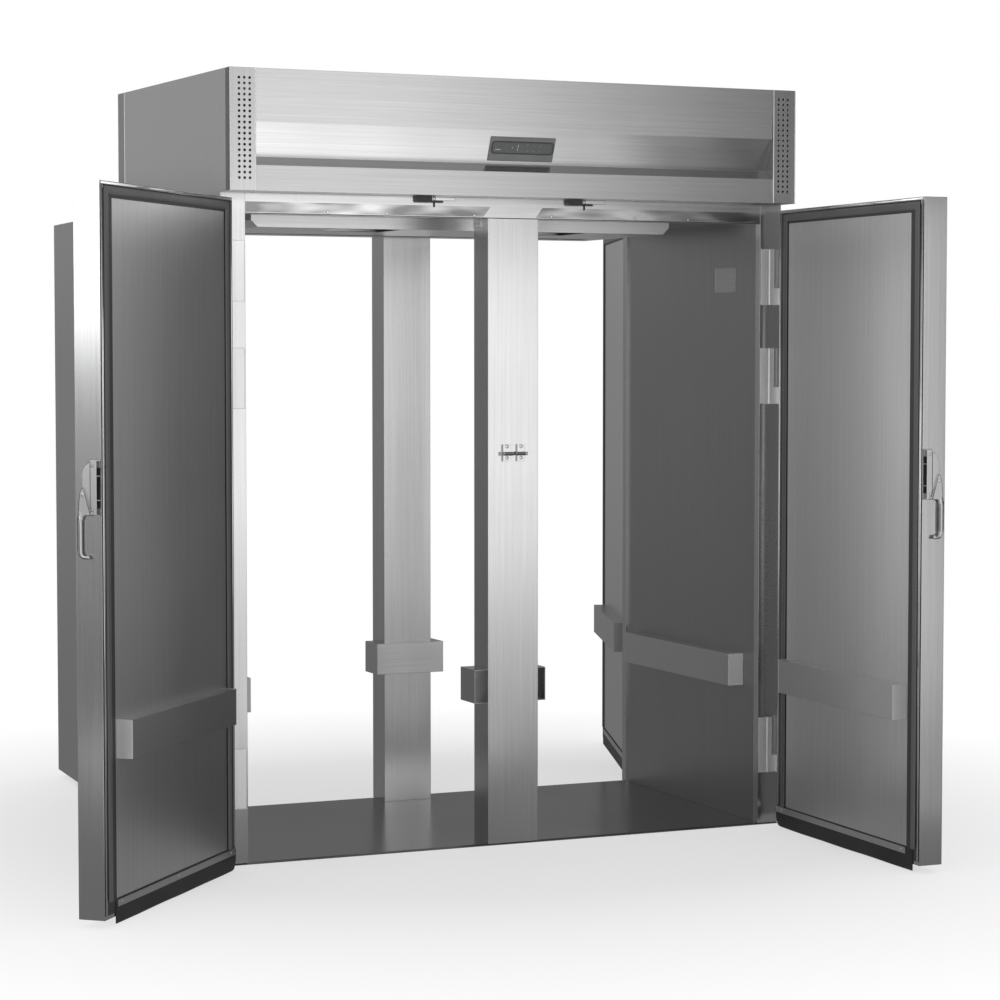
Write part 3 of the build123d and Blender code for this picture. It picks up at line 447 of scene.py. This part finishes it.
class Builder:
    """Gathers points and faces of one piece, with a material number for each face."""

    def __init__(self):
        self.points = []
        self.faces = []
        self.looks = []

    def grid(self, rows, look=0, close=False):
        """Joins rows of points into a skin."""
        first = len(self.points)
        width = len(rows[0])
        for row in rows:
            self.points += row
        for r in range(len(rows) - 1):
            for c in range(width if close else width - 1):
                a = first + r * width + c
                b = first + r * width + (c + 1) % width
                self.faces.append((a, b, b + width, a + width))
                self.looks.append(look)

    def fan(self, row, look=0):
        """Closes a row of points with one face."""
        first = len(self.points)
        self.points += row
        self.faces.append(tuple(range(first, first + len(row))))
        self.looks.append(look)

    def prism(self, outline, shift, look=0, inset=0.0):
        """A closed outline pushed along a vector, with its far rim drawn in a little."""
        centre = [sum(p[i] for p in outline) / len(outline) for i in range(3)]
        size = max(math.dist(p, centre) for p in outline)
        drawn = [tuple(c + (a - c) * (1 - inset / size) for a, c in zip(p, centre)) for p in outline]
        step = [tuple(a + 0.7 * s for a, s in zip(p, shift)) for p in outline]
        top = [tuple(a + s for a, s in zip(p, shift)) for p in drawn]
        self.grid([outline, step, top], look, close=True)
        self.fan(outline, look)
        self.fan(top, look)

    def bar(self, rows, look=0):
        """A bar with closed ends, given as its sections along the way."""
        self.grid(rows, look, close=True)
        self.fan(rows[0], look)
        self.fan(rows[-1], look)

    def ring(self, outer, inner, push, look=0):
        """A flat frame between two outlines with the same number of points, raised by a vector."""
        raised = [[tuple(a + s for a, s in zip(p, push)) for p in line] for line in (outer, inner)]
        rows = [list(section) for section in zip(outer, inner, raised[1], raised[0])]
        self.grid(rows + rows[:1], look, close=True)

    def slab(self, low, high, look=0, edge=0.0008):
        """A box with its edges bevelled all round."""
        (x0, y0, z0), (x1, y1, z1) = low, high
        e = min(edge, (x1 - x0) / 3, (y1 - y0) / 3, (z1 - z0) / 3)
        rows = []
        for z, cut in ((z0, e), (z0 + e, 0), (z1 - e, 0), (z1, e)):
            a, b, c, d = x0 + cut, x1 - cut, y0 + cut, y1 - cut
            rows.append([
                (a + e, c, z), (b - e, c, z), (b, c + e, z), (b, d - e, z),
                (b - e, d, z), (a + e, d, z), (a, d - e, z), (a, c + e, z),
            ])
        self.grid(rows, look, close=True)
        self.fan(rows[0], look)
        self.fan(rows[-1], look)

    def finish(self, name, materials, body, move=None, smooth=False):
        """Makes the piece, which rides on its body."""
        points = [move(p) for p in self.points] if move else self.points
        mesh = bpy.data.meshes.new(name)
        mesh.from_pydata(points, [], self.faces)
        for material in materials:
            mesh.materials.append(material)
        for face, look in zip(mesh.polygons, self.looks):
            face.material_index = look
            face.use_smooth = smooth
        work = bmesh.new()
        work.from_mesh(mesh)
        bmesh.ops.remove_doubles(work, verts=work.verts, dist=1e-6)
        bmesh.ops.recalc_face_normals(work, faces=work.faces)
        work.to_mesh(mesh)
        work.free()
        piece = bpy.data.objects.new(name, mesh)
        bpy.context.scene.collection.objects.link(piece)
        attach(piece, body)
        return piece


def add_border(side, end):
    """The door's vinyl border: flat strips, dark grooves and a mitred bellows."""
    made = Builder()
    back, face = INNER_FACE - 0.0012, INNER_FACE + BORDER_RISE
    left, right = BORDER_SPAN
    low, high = BORDER_HEIGHTS
    (x0, x1), (z0, z1) = PANEL_SPAN, PANEL_HEIGHTS
    made.slab((left, back, low), (x0, face, high), 1)
    made.slab((x1, back, low), (right, face, high), 1)
    made.slab((x0, back, z1), (x1, face, high), 1)
    made.slab((x0, back, low), (x1, face, z0), 1)

    half, rise = SEAL_HALF_WIDTH, SEAL_RISE
    free, hinge = SEAL_LINES
    inner_top = SEAL_TOP - half
    groove_face = face + 0.0001
    free_groove, inner_groove, outer_groove = 0.003, 0.006, 0.004
    made.slab((left, back, SEAL_FOOT), (free - half + free_groove, groove_face, high), 0, FINE_EDGE)
    start = hinge - half - inner_groove
    made.slab((start, back, SEAL_FOOT), (hinge - half, groove_face, inner_top), 0, FINE_EDGE)
    stop = hinge + half + outer_groove
    made.slab((hinge + half, back, SEAL_FOOT), (stop, groove_face, high), 0, FINE_EDGE)

    corners = (
        (free, SEAL_FOOT, 1, 0),
        (free, SEAL_TOP, 1, -1),
        (hinge, SEAL_TOP, -1, -1),
        (hinge, SEAL_FOOT, -1, 0),
    )
    rows = []
    for x, z, lean_x, lean_z in corners:
        rows.append([(x + half * a * lean_x, face + rise * b, z + half * a * lean_z) for a, b in BELLOWS])
    made.grid(rows, 2)
    made.fan(rows[0], 2)
    made.fan(rows[-1], 2)
    lip_start, lip_stop = free + half + 0.001, free + half + 0.0022
    made.slab((lip_start, back, SEAL_FOOT), (lip_stop, face + 0.001, inner_top), 0, FINE_EDGE)
    name = f"{side}_{end}_door"
    materials = [groove, border_vinyl, seal_vinyl]
    piece = made.finish(f"{name}_border", materials, name, on_door(side, end))
    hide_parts(f"{name}_gasket")


def add_flap(side, end):
    """The rubber sweep: a thin sheet with a slightly wavy hem and a round corner at the hinge end."""
    made = Builder()
    start, stop = FLAP_STARTS[side], FLAP_END
    thickness = 0.0018
    near, far = INNER_FACE + BORDER_RISE, INNER_FACE + BORDER_RISE + thickness
    hem_height, top, corner = 0.0032, 0.060, 0.024
    steps, levels = 64, 6
    shift = 0.7 * len(side) + 1.9 * len(end)
    sheets = []
    for y in (near, far):
        rows = []
        for i in range(steps + 1):
            x = start + (stop - start) * i / steps
            wave = math.sin(7.0 * x + shift) + 0.6 * math.sin(23.0 * x + 2 * shift)
            past = max(0.0, x - (stop - corner)) / corner
            hem = hem_height + 0.0008 * wave
            hem += corner * (1 - math.sqrt(max(0.0, 1 - past * past)))
            sway = 0.0004 * wave
            column = []
            for j in range(levels + 1):
                rise = j / levels
                column.append((x, y + sway * (1 - rise) ** 2, hem + (top - hem) * rise))
            rows.append(column)
        sheets.append(rows)
    front, back = sheets
    made.grid(front)
    made.grid(back)
    made.grid([[a[0] for a in front], [a[0] for a in back]])
    made.grid([[a[-1] for a in front], [a[-1] for a in back]])
    made.grid([front[0], back[0]])
    made.grid([front[-1], back[-1]])
    name = f"{side}_{end}_door"
    piece = made.finish(f"{name}_flap", [rubber], name, on_door(side, end))
    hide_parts(f"{name}_sweep")


def add_door_caps(side, end):
    """Pale end caps that close the door's bumper channel."""
    made = Builder()
    (x0, x1), (z0, z1), depth = DOOR_BUMPER
    y0, y1 = INNER_FACE + 0.0001, INNER_FACE + depth + CAP_LAP
    for a, b in ((x0 - CAP_THICKNESS, x0 + CAP_LAP), (x1 - CAP_LAP, x1 + CAP_THICKNESS)):
        made.slab((a, y0, z0 - CAP_LAP), (b, y1, z1 + CAP_LAP), 0, CAP_EDGE)
    name = f"{side}_{end}_door"
    made.finish(f"{name}_bumper_caps", [cap_plastic], name, on_door(side, end))


def add_wall_caps():
    """The same caps on the two long wall bumpers."""
    made = Builder()
    inner, outer, reach, (z0, z1) = WALL_BUMPER
    for flip in (-1, 1):
        for end in (-1, 1):
            xs = sorted((flip * (inner - CAP_LAP), flip * (outer - 0.0001)))
            ys = sorted((end * (reach - CAP_LAP), end * (reach + CAP_THICKNESS)))
            made.slab((xs[0], ys[0], z0 - CAP_LAP), (xs[1], ys[1], z1 + CAP_LAP), 0, CAP_EDGE)
    made.finish("wall_bumper_caps", [cap_plastic], "cabinet")


def add_rating_plate():
    """A bare metal plate on the right wall, with a pressed border and four rivets."""
    made = Builder()
    wall, thickness = 0.806, 0.0006
    y0, y1, z0, z1 = -0.294, -0.166, 1.592, 1.669
    made.slab((wall - thickness, y0, z0), (wall, y1, z1), 0, THIN_EDGE)
    rim, rim_front, rim_back = 0.0022, wall - 0.0010, wall - 0.0005
    sides = (
        ((y0, z0), (y1, z0 + rim)),
        ((y0, z1 - rim), (y1, z1)),
        ((y0, z0), (y0 + rim, z1)),
        ((y1 - rim, z0), (y1, z1)),
    )
    for low, high in sides:
        made.slab((rim_front, *low), (rim_back, *high), 0, FINE_EDGE)
    inset, rivet = 0.006, 0.0016
    for y in (y0 + inset, y1 - inset):
        for z in (z0 + inset, z1 - inset):
            made.prism(disc((wall - thickness, y, z), rivet, "X", 8), (-0.0009, 0, 0), 0, 0.0008)
    made.finish("rating_plate", [label_metal], "cabinet")


def rounded(x0, x1, y0, y1, radius, steps=5):
    """The outline of a rectangle with round corners."""
    points = []
    for cx, cy, start in ((x1, y1, 0), (x0, y1, 90), (x0, y0, 180), (x1, y0, 270)):
        inner_x = cx - radius if cx == x1 else cx + radius
        inner_y = cy - radius if cy == y1 else cy + radius
        for i in range(steps + 1):
            angle = math.radians(start + 90 * i / steps)
            points.append((inner_x + radius * math.cos(angle), inner_y + radius * math.sin(angle)))
    return points


def disc(centre, radius, axis, count=20):
    """A round outline about a point, facing along X or Y."""
    points = []
    for i in range(count):
        a, b = radius * math.cos(math.tau * i / count), radius * math.sin(math.tau * i / count)
        step = (0, a, b) if axis == "X" else (a, 0, b)
        points.append(tuple(c + s for c, s in zip(centre, step)))
    return points


def add_lip(side, end):
    """The rolled lip round the door's inner side: a bright bead, and beside it a dark strip of painted dark
    reflection on the lip's face.
    """
    made = Builder()
    rise = 0.0011
    low, high = BORDER_HEIGHTS
    x0, x1 = 0.0446, 0.0556
    lip_end = HINGE_EDGE - 0.002

    def upright_bead(middle, half):
        made.bar([[(middle + half * a, INNER_FACE + rise * b, z) for a, b in BEAD] for z in (low, high)])

    upright_bead((x0 + x1) / 2, (x1 - x0) / 2)
    top, tall = 1.8245, 0.0028
    made.bar([[(x, INNER_FACE + rise * b, top + tall * a) for a, b in BEAD] for x in (x0, lip_end)])
    upright_bead(0.8512, 0.0034)
    back, fold = INNER_FACE - 0.0002, INNER_FACE + 0.00015
    # A dark strip beside the bead, and another along the top: painted dark reflection on the lip's face.
    made.slab((FREE_EDGE + 0.0008, back, low), (FREE_EDGE + 0.0066, fold, high), 1, HAIR_EDGE)
    made.slab((x0, back, high), (lip_end, fold, high + 0.0018), 1, HAIR_EDGE)
    name = f"{side}_{end}_door"
    move = on_door(side, end)
    made.finish(f"{name}_lip", [lip_steel, painted_dark_steel], name, move, smooth=True)


def add_latch(side, end):
    """Joint lines round the latch, a dark lining of its slot that is painted shade, screw heads and the
    pivot's rivet.
    """
    made = Builder()
    outer, edge = OUTER_FACE, FREE_EDGE
    near, far = outer + LATCH_DEPTHS[0], outer + LATCH_DEPTHS[1]
    low, high = LATCH_HEIGHTS
    joint, skin = 0.0008, 0.0003
    made.slab((edge - skin, near - joint, low - joint), (edge, near, high + joint), 0, HAIR_EDGE)
    made.slab((edge - skin, far, low - joint), (edge, far + joint, high + joint), 0, HAIR_EDGE)
    made.slab((edge - skin, near, high), (edge, far, high + joint), 0, HAIR_EDGE)
    made.slab((edge - skin, near, low - joint), (edge, far, low), 0, HAIR_EDGE)

    plate_face, shade_thickness = edge - 0.005, 0.0002
    slot, slot_low, slot_high = outer + 0.059, 1.034, 1.133
    # The slot's lining is painted shade: dark sheets over the slot and on the plate's face above and below
    # it.
    made.slab((edge - 0.0023, slot, slot_low), (edge - 0.0019, far, slot_high), 0, HAIR_EDGE)
    made.slab((plate_face, slot, slot_low), (edge - 0.002, slot + shade_thickness, slot_high), 0, HAIR_EDGE)
    made.slab((plate_face - shade_thickness, slot, low + 0.002), (plate_face, far, slot_low), 2, HAIR_EDGE)
    made.slab((plate_face - shade_thickness, slot, slot_high), (plate_face, far, high - 0.002), 2, HAIR_EDGE)

    # The housing's outline: a straight back, a straight front and a quarter round over them
    front, back = outer + 0.0215, outer + 0.0415
    shoulder, top = 1.109, 1.146
    made.slab((edge - 0.0061, back - 0.0001, low), (edge, back + 0.0006, top), 0, HAIR_EDGE)
    path = [(front, low), (front, shoulder)]
    steps = 8
    for i in range(1, steps + 1):
        turn = math.radians(180 - 90 * i / steps)
        path.append((back + (back - front) * math.cos(turn), shoulder + (top - shoulder) * math.sin(turn)))
    rows = []
    for y, z in path:
        out_y, out_z = (y - joint, z) if z <= shoulder else (y - 0.7 * joint, z + 0.7 * joint)
        rows.append([(edge - skin, y, z), (edge - skin, out_y, out_z), (edge, out_y, out_z), (edge, y, z)])
    made.bar(rows, 0)

    column = near + 0.005
    for z in (1.138, 1.031, 1.022):
        made.prism(disc((plate_face, column, z), 0.0043, "X"), (-0.0002, 0, 0), 0)
        made.prism(disc((plate_face - 0.0012, column, z), 0.0034, "X"), (-0.00018, 0, 0), 1, 0.0006)
    pin = (edge - 0.0148, outer + 0.025, 1.068)
    made.prism(disc(pin, 0.0034, "X"), (-0.0006, 0, 0), 1, 0.0010)
    name = f"{side}_{end}_door"
    materials = [groove, bright_steel, dim_steel]
    made.finish(f"{name}_latch_trim", materials, name, on_door(side, end))


def add_lever(side, end):
    """The latch lever: a flat three-cornered plate that runs down into a round grip with a hooked end."""
    made = Builder()
    outer, edge = OUTER_FACE, FREE_EDGE
    # Points in millimetres: depth behind the door's outer face, and height
    plate = [
        (24.5, 1085.5), (21.5, 1082.0), (18.0, 1073.0), (15.0, 1049.0), (12.6, 1022.0), (12.2, 1008.0),
        (21.8, 1004.0), (23.5, 1011.0), (27.5, 1016.0), (46.2, 1017.6), (46.6, 1020.0), (28.0, 1079.0),
        (26.8, 1084.0),
    ]
    plate_inner, plate_thickness = edge - 0.0065, 0.0065
    outline = [(plate_inner, outer + y / 1000, z / 1000) for y, z in plate]
    made.prism(outline, (-plate_thickness, 0, 0), 0, 0.0009)
    middle_y, middle_z = 0.0262, 1.045
    # A ring of dark steel round the plate's outer face: painted dark reflection on its rounded edges.
    rim = [(edge - 0.0131, y, z) for x, y, z in outline]
    core = [(x, y + (outer + middle_y - y) * 0.12, z + (middle_z - z) * 0.04) for x, y, z in rim]
    made.ring(rim, core, (0.0003, 0, 0), 1)

    grip, bend, bend_start = 17.0, 13.0, 928.0
    spine = [(17.8, 1024.0), (17.4, 1014.0), (grip, 1000.0), (grip, 975.0), (grip, 950.0), (grip, 930.0)]
    for i in range(1, 7):
        turn = math.radians(90 * i / 6)
        spine.append((grip + bend * (1 - math.cos(turn)), bend_start - bend * math.sin(turn)))
    spine += [(35.0, 915.0), (40.0, 915.6), (42.0, 916.4)]
    last = len(spine) - 1
    sizes = {0: 0.30, 1: 0.72, last: 0.35}
    half_width, half_depth, sides = 5.4, 5.0, 14
    middle_x = edge - 0.0115
    rows = []
    for i, (y, z) in enumerate(spine):
        ahead, behind = spine[min(i + 1, last)], spine[max(i - 1, 0)]
        run = math.dist(ahead, behind)
        side_y, side_z = (behind[1] - ahead[1]) / run, (ahead[0] - behind[0]) / run
        size = sizes.get(i, 1.0)
        row = []
        for k in range(sides):
            angle = math.tau * k / sides
            wide, deep = half_width * size * math.cos(angle), half_depth * size * math.sin(angle)
            row_y, row_z = outer + (y + wide * side_y) / 1000, (z + wide * side_z) / 1000
            row.append((middle_x - deep / 1000, row_y, row_z))
        rows.append(row)
    made.bar(rows, 2)
    # A dark strip along the grip's side: painted shade.
    grip_side = outer + 0.01155
    made.slab((edge - 0.0152, grip_side, 0.930), (edge - 0.0080, grip_side + 0.0012, 1.012), 1, 0.0003)
    name = f"{side}_{end}_door_handle"
    materials = [cast_steel, painted_dark_steel, grip_steel]
    piece = made.finish(f"{name}_lever", materials, name, on_door(side, end))
    for face, look in zip(piece.data.polygons, made.looks):
        face.use_smooth = look == 2
    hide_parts(name)


def add_control_panel():
    """The cover plate with its pressed rim, a black-framed screen and a few lit marks."""
    made = Builder()
    # The sloping band's directions, as Y and Z: up the slope, and out of its face
    along, rise = (-0.3987, 0.9171), (-0.9171, -0.3987)
    middle_y, middle_z = -0.514, 1.9834

    def place(point):
        a, b, c = point
        return (a, middle_y + along[0] * b + rise[0] * c, middle_z + along[1] * b + rise[1] * c)

    wide, tall, thick = 0.100, 0.0355, 0.003
    made.slab((-wide, -tall, 0), (wide, tall, thick), 0, 0.0010)
    rim_outer, rim_inner, corner = 0.0016, 0.0034, 0.002
    rim = rounded(-wide + rim_outer, wide - rim_outer, -tall + rim_outer, tall - rim_outer, corner)
    hem = rounded(-wide + rim_inner, wide - rim_inner, -tall + rim_inner, tall - rim_inner, corner)
    made.ring([(*p, thick) for p in rim], [(*p, thick) for p in hem], (0, 0, 0.0006), 0)
    frame_line = [(*p, thick) for p in rounded(-0.0945, 0.0965, -0.0140, 0.0236, 0.009)]
    glass_line = [(*p, thick) for p in rounded(-0.0910, 0.0930, -0.0106, 0.0202, 0.0062)]
    made.ring(frame_line, glass_line, (0, 0, 0.0012), 1)
    glass = 0.0008
    made.prism(glass_line, (0, 0, glass), 2)

    # Left, right, bottom and top of each mark on the screen
    lit = [
        (-0.0826, -0.0656, -0.0020, -0.0004), (-0.0325, -0.0280, 0.0044, 0.0056),
        (-0.0138, -0.0124, 0.0062, 0.0132), (-0.0150, -0.0136, -0.0032, 0.0040),
        (-0.0165, -0.0140, 0.0110, 0.0120),
    ]
    dim = [(-0.0510, -0.0494, 0.0126, 0.0142), (-0.0502, -0.0486, 0.0053, 0.0069)]
    crosses = (
        (0.0150, 0.0135), (0.0350, 0.0120), (0.0540, 0.0120),
        (0.0170, -0.0035), (0.0350, -0.0030), (0.0530, -0.0040),
    )
    half_length, half_height, half_line, half_post = 0.0021, 0.0018, 0.0004, 0.0005
    for x, y in crosses:
        dim.append((x - half_length, x + half_length, y - half_line, y + half_line))
        dim.append((x - half_post, x + half_post, y - half_height, y + half_height))
    top = thick + glass
    for marks, look in ((lit, 3), (dim, 4)):
        for x0, x1, y0, y1 in marks:
            made.slab((x0, y0, top - 0.0001), (x1, y1, top + 0.0002), look, FINE_EDGE)
    middle, half, depth = 0.008, 0.016, 0.045
    made.slab((-0.088, middle - half, -depth), (0.088, middle + half, 0.0002), 1, 0.001)
    materials = [panel_plastic, black_plastic, screen, lit_mark, dim_mark]
    made.finish("control_panel_front", materials, "cabinet", place)
    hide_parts("control_panel")


def add_strike_rollers():
    """Dark steel over the strikes' rollers as painted shade, a collar on each side arm and rings round the
    screws.
    """
    made = Builder()
    plate, roller, height = 0.463, 0.467, 1.1235
    roller_shade = ((0.0040, 0.0034), (0.0052, 0.0052), (0.0300, 0.0053), (0.0326, 0.0050))
    for flip in (-1, 1):
        for end in (-1, 1):
            made.bar([disc((flip * x, -end * roller, height), radius, "X", 16) for x, radius in roller_shade], 0)
            xs = sorted((flip * 0.0345, flip * 0.0438))
            ys = sorted((-end * 0.4612, -end * 0.4618))
            made.slab((xs[0], ys[0], height - 0.0045), (xs[1], ys[1], height + 0.0045), 1, THIN_EDGE)
            for z in (1.112, 1.144):
                centre = (flip * 0.022, -end * plate, z)
                made.ring(disc(centre, 0.0050, "Y"), disc(centre, 0.0042, "Y"), (0, -end * 0.0002, 0), 0)
    made.finish("strike_rollers", [roller_steel, band_steel], "cabinet")


def add_rail_band():
    """A bright rippled strip along the head rails, broken at the middle, with painted reflection patches,
    its screws and a dark strip below it that is a painted shadow line.
    """
    made = Builder()
    face, sunk, raised, reach = 0.456, -0.0002, 0.0003, 0.799
    band, shadow_line, screw_height = (1.7945, 1.8235), (1.7912, 1.7930), 1.7985
    for end in (-1, 1):
        def spot(x, z, out):
            return (x * -end, end * (out + face), z)

        def strip(foot_span, head_span, heights, look):
            sections = []
            for (x0, x1), z in zip((foot_span, head_span), heights):
                corners = ((x0, sunk), (x1, sunk), (x1, raised), (x0, raised))
                sections.append([spot(x, z, out) for x, out in corners])
            made.bar(sections, look)

        strip((-reach, -0.092), (-reach, -0.070), band, 0)
        strip((0.070, reach), (0.092, reach), band, 0)
        # A dark strip under the band: painted shadow line below the head rail.
        strip((-reach, reach), (-reach, reach), shadow_line, 1)
        for x in (-0.560, -0.385, -0.120, 0.120, 0.385, 0.560):
            centre = spot(x, screw_height, raised)
            made.prism(disc(centre, 0.0040, "Y", 12), (0, end * 0.0003, 0), 1)
            made.prism(disc(centre, 0.0031, "Y", 12), (0, end * 0.0010, 0), 2, 0.0008)
    made.finish("rail_band", [painted_ripple_steel, groove, bright_steel], "cabinet")


def add_switch_covers():
    """Bright cover strips on the door switches, each with a screw in a dark ring."""
    made = Builder()
    cover, back, screw_height = 0.4596, 0.4588, 1.8425
    for turn in (1, -1):
        for start in (-0.301, 0.165):
            xs = sorted((turn * (start + 0.0465), turn * (start + 0.1215)))
            ys = sorted((turn * -cover, turn * -back))
            made.slab((xs[0], ys[0], 1.8376), (xs[1], ys[1], 1.8474), 0, THIN_EDGE)
            centre = (turn * (start + 0.057), turn * -cover, screw_height)
            made.prism(disc(centre, 0.0047, "Y"), (0, turn * -0.0002, 0), 1)
            made.prism(disc(centre, 0.0034, "Y"), (0, turn * -0.0012, 0), 0, 0.0008)
    made.finish("switch_covers", [bright_steel, groove], "cabinet")


def add_canopy_seams():
    """The corner strips' folds: beads, covers on the side returns and webs that close the slope's ends."""
    made = Builder()
    side, inner, front, low = 0.870, 0.797, 0.540, 1.8482
    front_top, rear_top = 2.1774, 2.1928
    front_return, rear_return = -front + 0.032, front - 0.068
    # The web's outline in millimetres: depth from the middle, towards the front, and height
    web = [
        (-536.2, 2034.0), (-496.2, 1942.0), (-532.2, 1918.0),
        (-536.0, 1850.0), (-538.6, 1850.0), (-538.6, 2034.0),
    ]

    def upright_bead(place, top, look):
        bead = [place(a, b) for a, b in BEAD]
        made.bar([[(x, y, z) for x, y in bead] for z in (low, top)], look)

    for flip in (-1, 1):
        xs = sorted((flip * (side - 0.0002), flip * (side + 0.0003)))
        made.slab((xs[0], -front + 0.0008, low), (xs[1], front_return, front_top), 0, FINE_EDGE)
        made.slab((xs[0], rear_return, low), (xs[1], front - 0.0008, rear_top), 3, FINE_EDGE)
        for y, top, look in ((front_return, front_top, 0), (rear_return, rear_top, 1)):
            upright_bead(lambda a, b: (flip * (side + 0.0011 * b), y + 0.0030 * a), top, look)
        for end, top in ((-1, front_top), (1, 2.1938)):
            for x in (inner, side - 0.0016):
                upright_bead(lambda a, b: (flip * (x + 0.0013 * a), end * (front + 0.0009 * b)), top, 1)
            outline = [(flip * (inner - 0.0002), end * -y / 1000, z / 1000) for y, z in web]
            made.prism(outline, (flip * 0.0008, 0, 0), 2)
    materials = [dim_steel, bright_steel, strip_steel, darker_fascia_steel]
    made.finish("canopy_seams", materials, "cabinet")


def add_ledge_shade():
    """A darker copy of the fascia steel laid on the ledge under the sloping band, front and back: painted
    shade on the ledge's upward face.
    """
    made = Builder()
    reach, lift = 0.7965, 0.0003
    (low_y, low_z), (high_y, high_z) = (0.5322, 1.9180), (0.4966, 1.9417)
    out, up = 0.55 * lift, 0.83 * lift
    for end in (-1, 1):
        rows = []
        for x in (-reach, -reach / 3, reach / 3, reach):
            rows.append([
                (x, end * low_y, low_z),
                (x, end * high_y, high_z),
                (x, end * (high_y + out), high_z + up),
                (x, end * (low_y + out), low_z + up),
            ])
        made.bar(rows)
    made.finish("ledge_shade", [darker_fascia_steel], "cabinet")


def flat(x0, x1, y0, y1, z):
    """Corners of a level rectangle."""
    return [(x0, y0, z), (x1, y0, z), (x1, y1, z), (x0, y1, z)]


def set_cards():
    """Grey and white boards round the cabinet, which give the steel its soft gradients."""
    card("back_card", upright(-4.5, 1.7, 4.5, 1.7, 0, 4.5), "Z",
         [(0, 0.2), (1.3, 0.26), (1.9, 0.3), (2.05, 0.42), (2.6, 0.42), (3, 0.6), (4.5, 1.0)])
    card("front_card", upright(1.0, -8.5, 9.0, -8.5, 0, 6), "X",
         [(1.0, 1.0), (2.4, 1.0), (4.2, 0.8), (9, 0.8)])
    card("right_flag", upright(1.6, -1.45, 1.6, -2.45, 0, 1.87), "Y",
         [(-2.45, 0.14), (-1.7, 0.09), (-1.45, 0.06)])
    card("fascia_flag", upright(1.6, -1.2, 1.6, -5.2, 1.89, 3.2), "Y",
         [(-5.2, 1.0), (-4.3, 0.82), (-3.7, 0.62), (-3.07, 0.42), (-2.4, 0.31), (-1.9, 0.22), (-1.2, 0.18)])
    card("top_card", flat(-4, 4, -1.5, 4, 4), "Y", [(-1.5, 0.16), (0, 0.1), (4, 0.1)])
    card("bay_card", upright(0.22, -0.5, 0.42, -0.5, 0.1, 1.79), "Z",
         [(0.1, 0.5), (0.4, 0.5), (0.7, 0.7), (1.0, 0.78), (1.3, 0.92), (1.6, 0.95), (1.79, 0.6)])
    card("slope_card", flat(-0.86, 0.9, -0.8, -0.58, 1.84), "X",
         [(-0.86, 1.62), (-0.41, 1.5), (-0.16, 1.28), (0.34, 0.78), (0.6, 0.33), (0.9, 0.13)])
    card("left_low_card", upright(-4.3, 0.5, -4.3, -5.0, 0, 1.4), "Z", [(0, 0.2), (1.1, 0.4), (1.4, 0.45)])
    card("floor_card", flat(-4.3, 2.6, -2.1, 2.4, 0.002), "Y", [(-2.1, 0.22), (2.4, 0.2)])
    card("front_floor_card", flat(0.8, 4.5, -6.0, -2.1, 0.002), "Y", [(-6, 0.75), (-2.1, 0.45)])


for side, end in DOORS:
    add_border(side, end)
    add_flap(side, end)
    add_door_caps(side, end)
    add_lip(side, end)
    add_latch(side, end)
    add_lever(side, end)
add_wall_caps()
add_rating_plate()
add_control_panel()
add_strike_rollers()
add_rail_band()
add_switch_covers()
add_canopy_seams()
add_ledge_shade()
set_camera()
set_world()
set_floor()
set_cards()
area_light("key_light", (-4.6, -2.6, 2.1), (-0.5, -0.5, 1.2), (1.5, 1.3), 11)
area_light("fill_light", (2.0, -6.5, 1.3), (0, 0, 1.2), (2.0, 2.0), 10)
bpy.context.scene.view_settings.view_transform = "Standard"
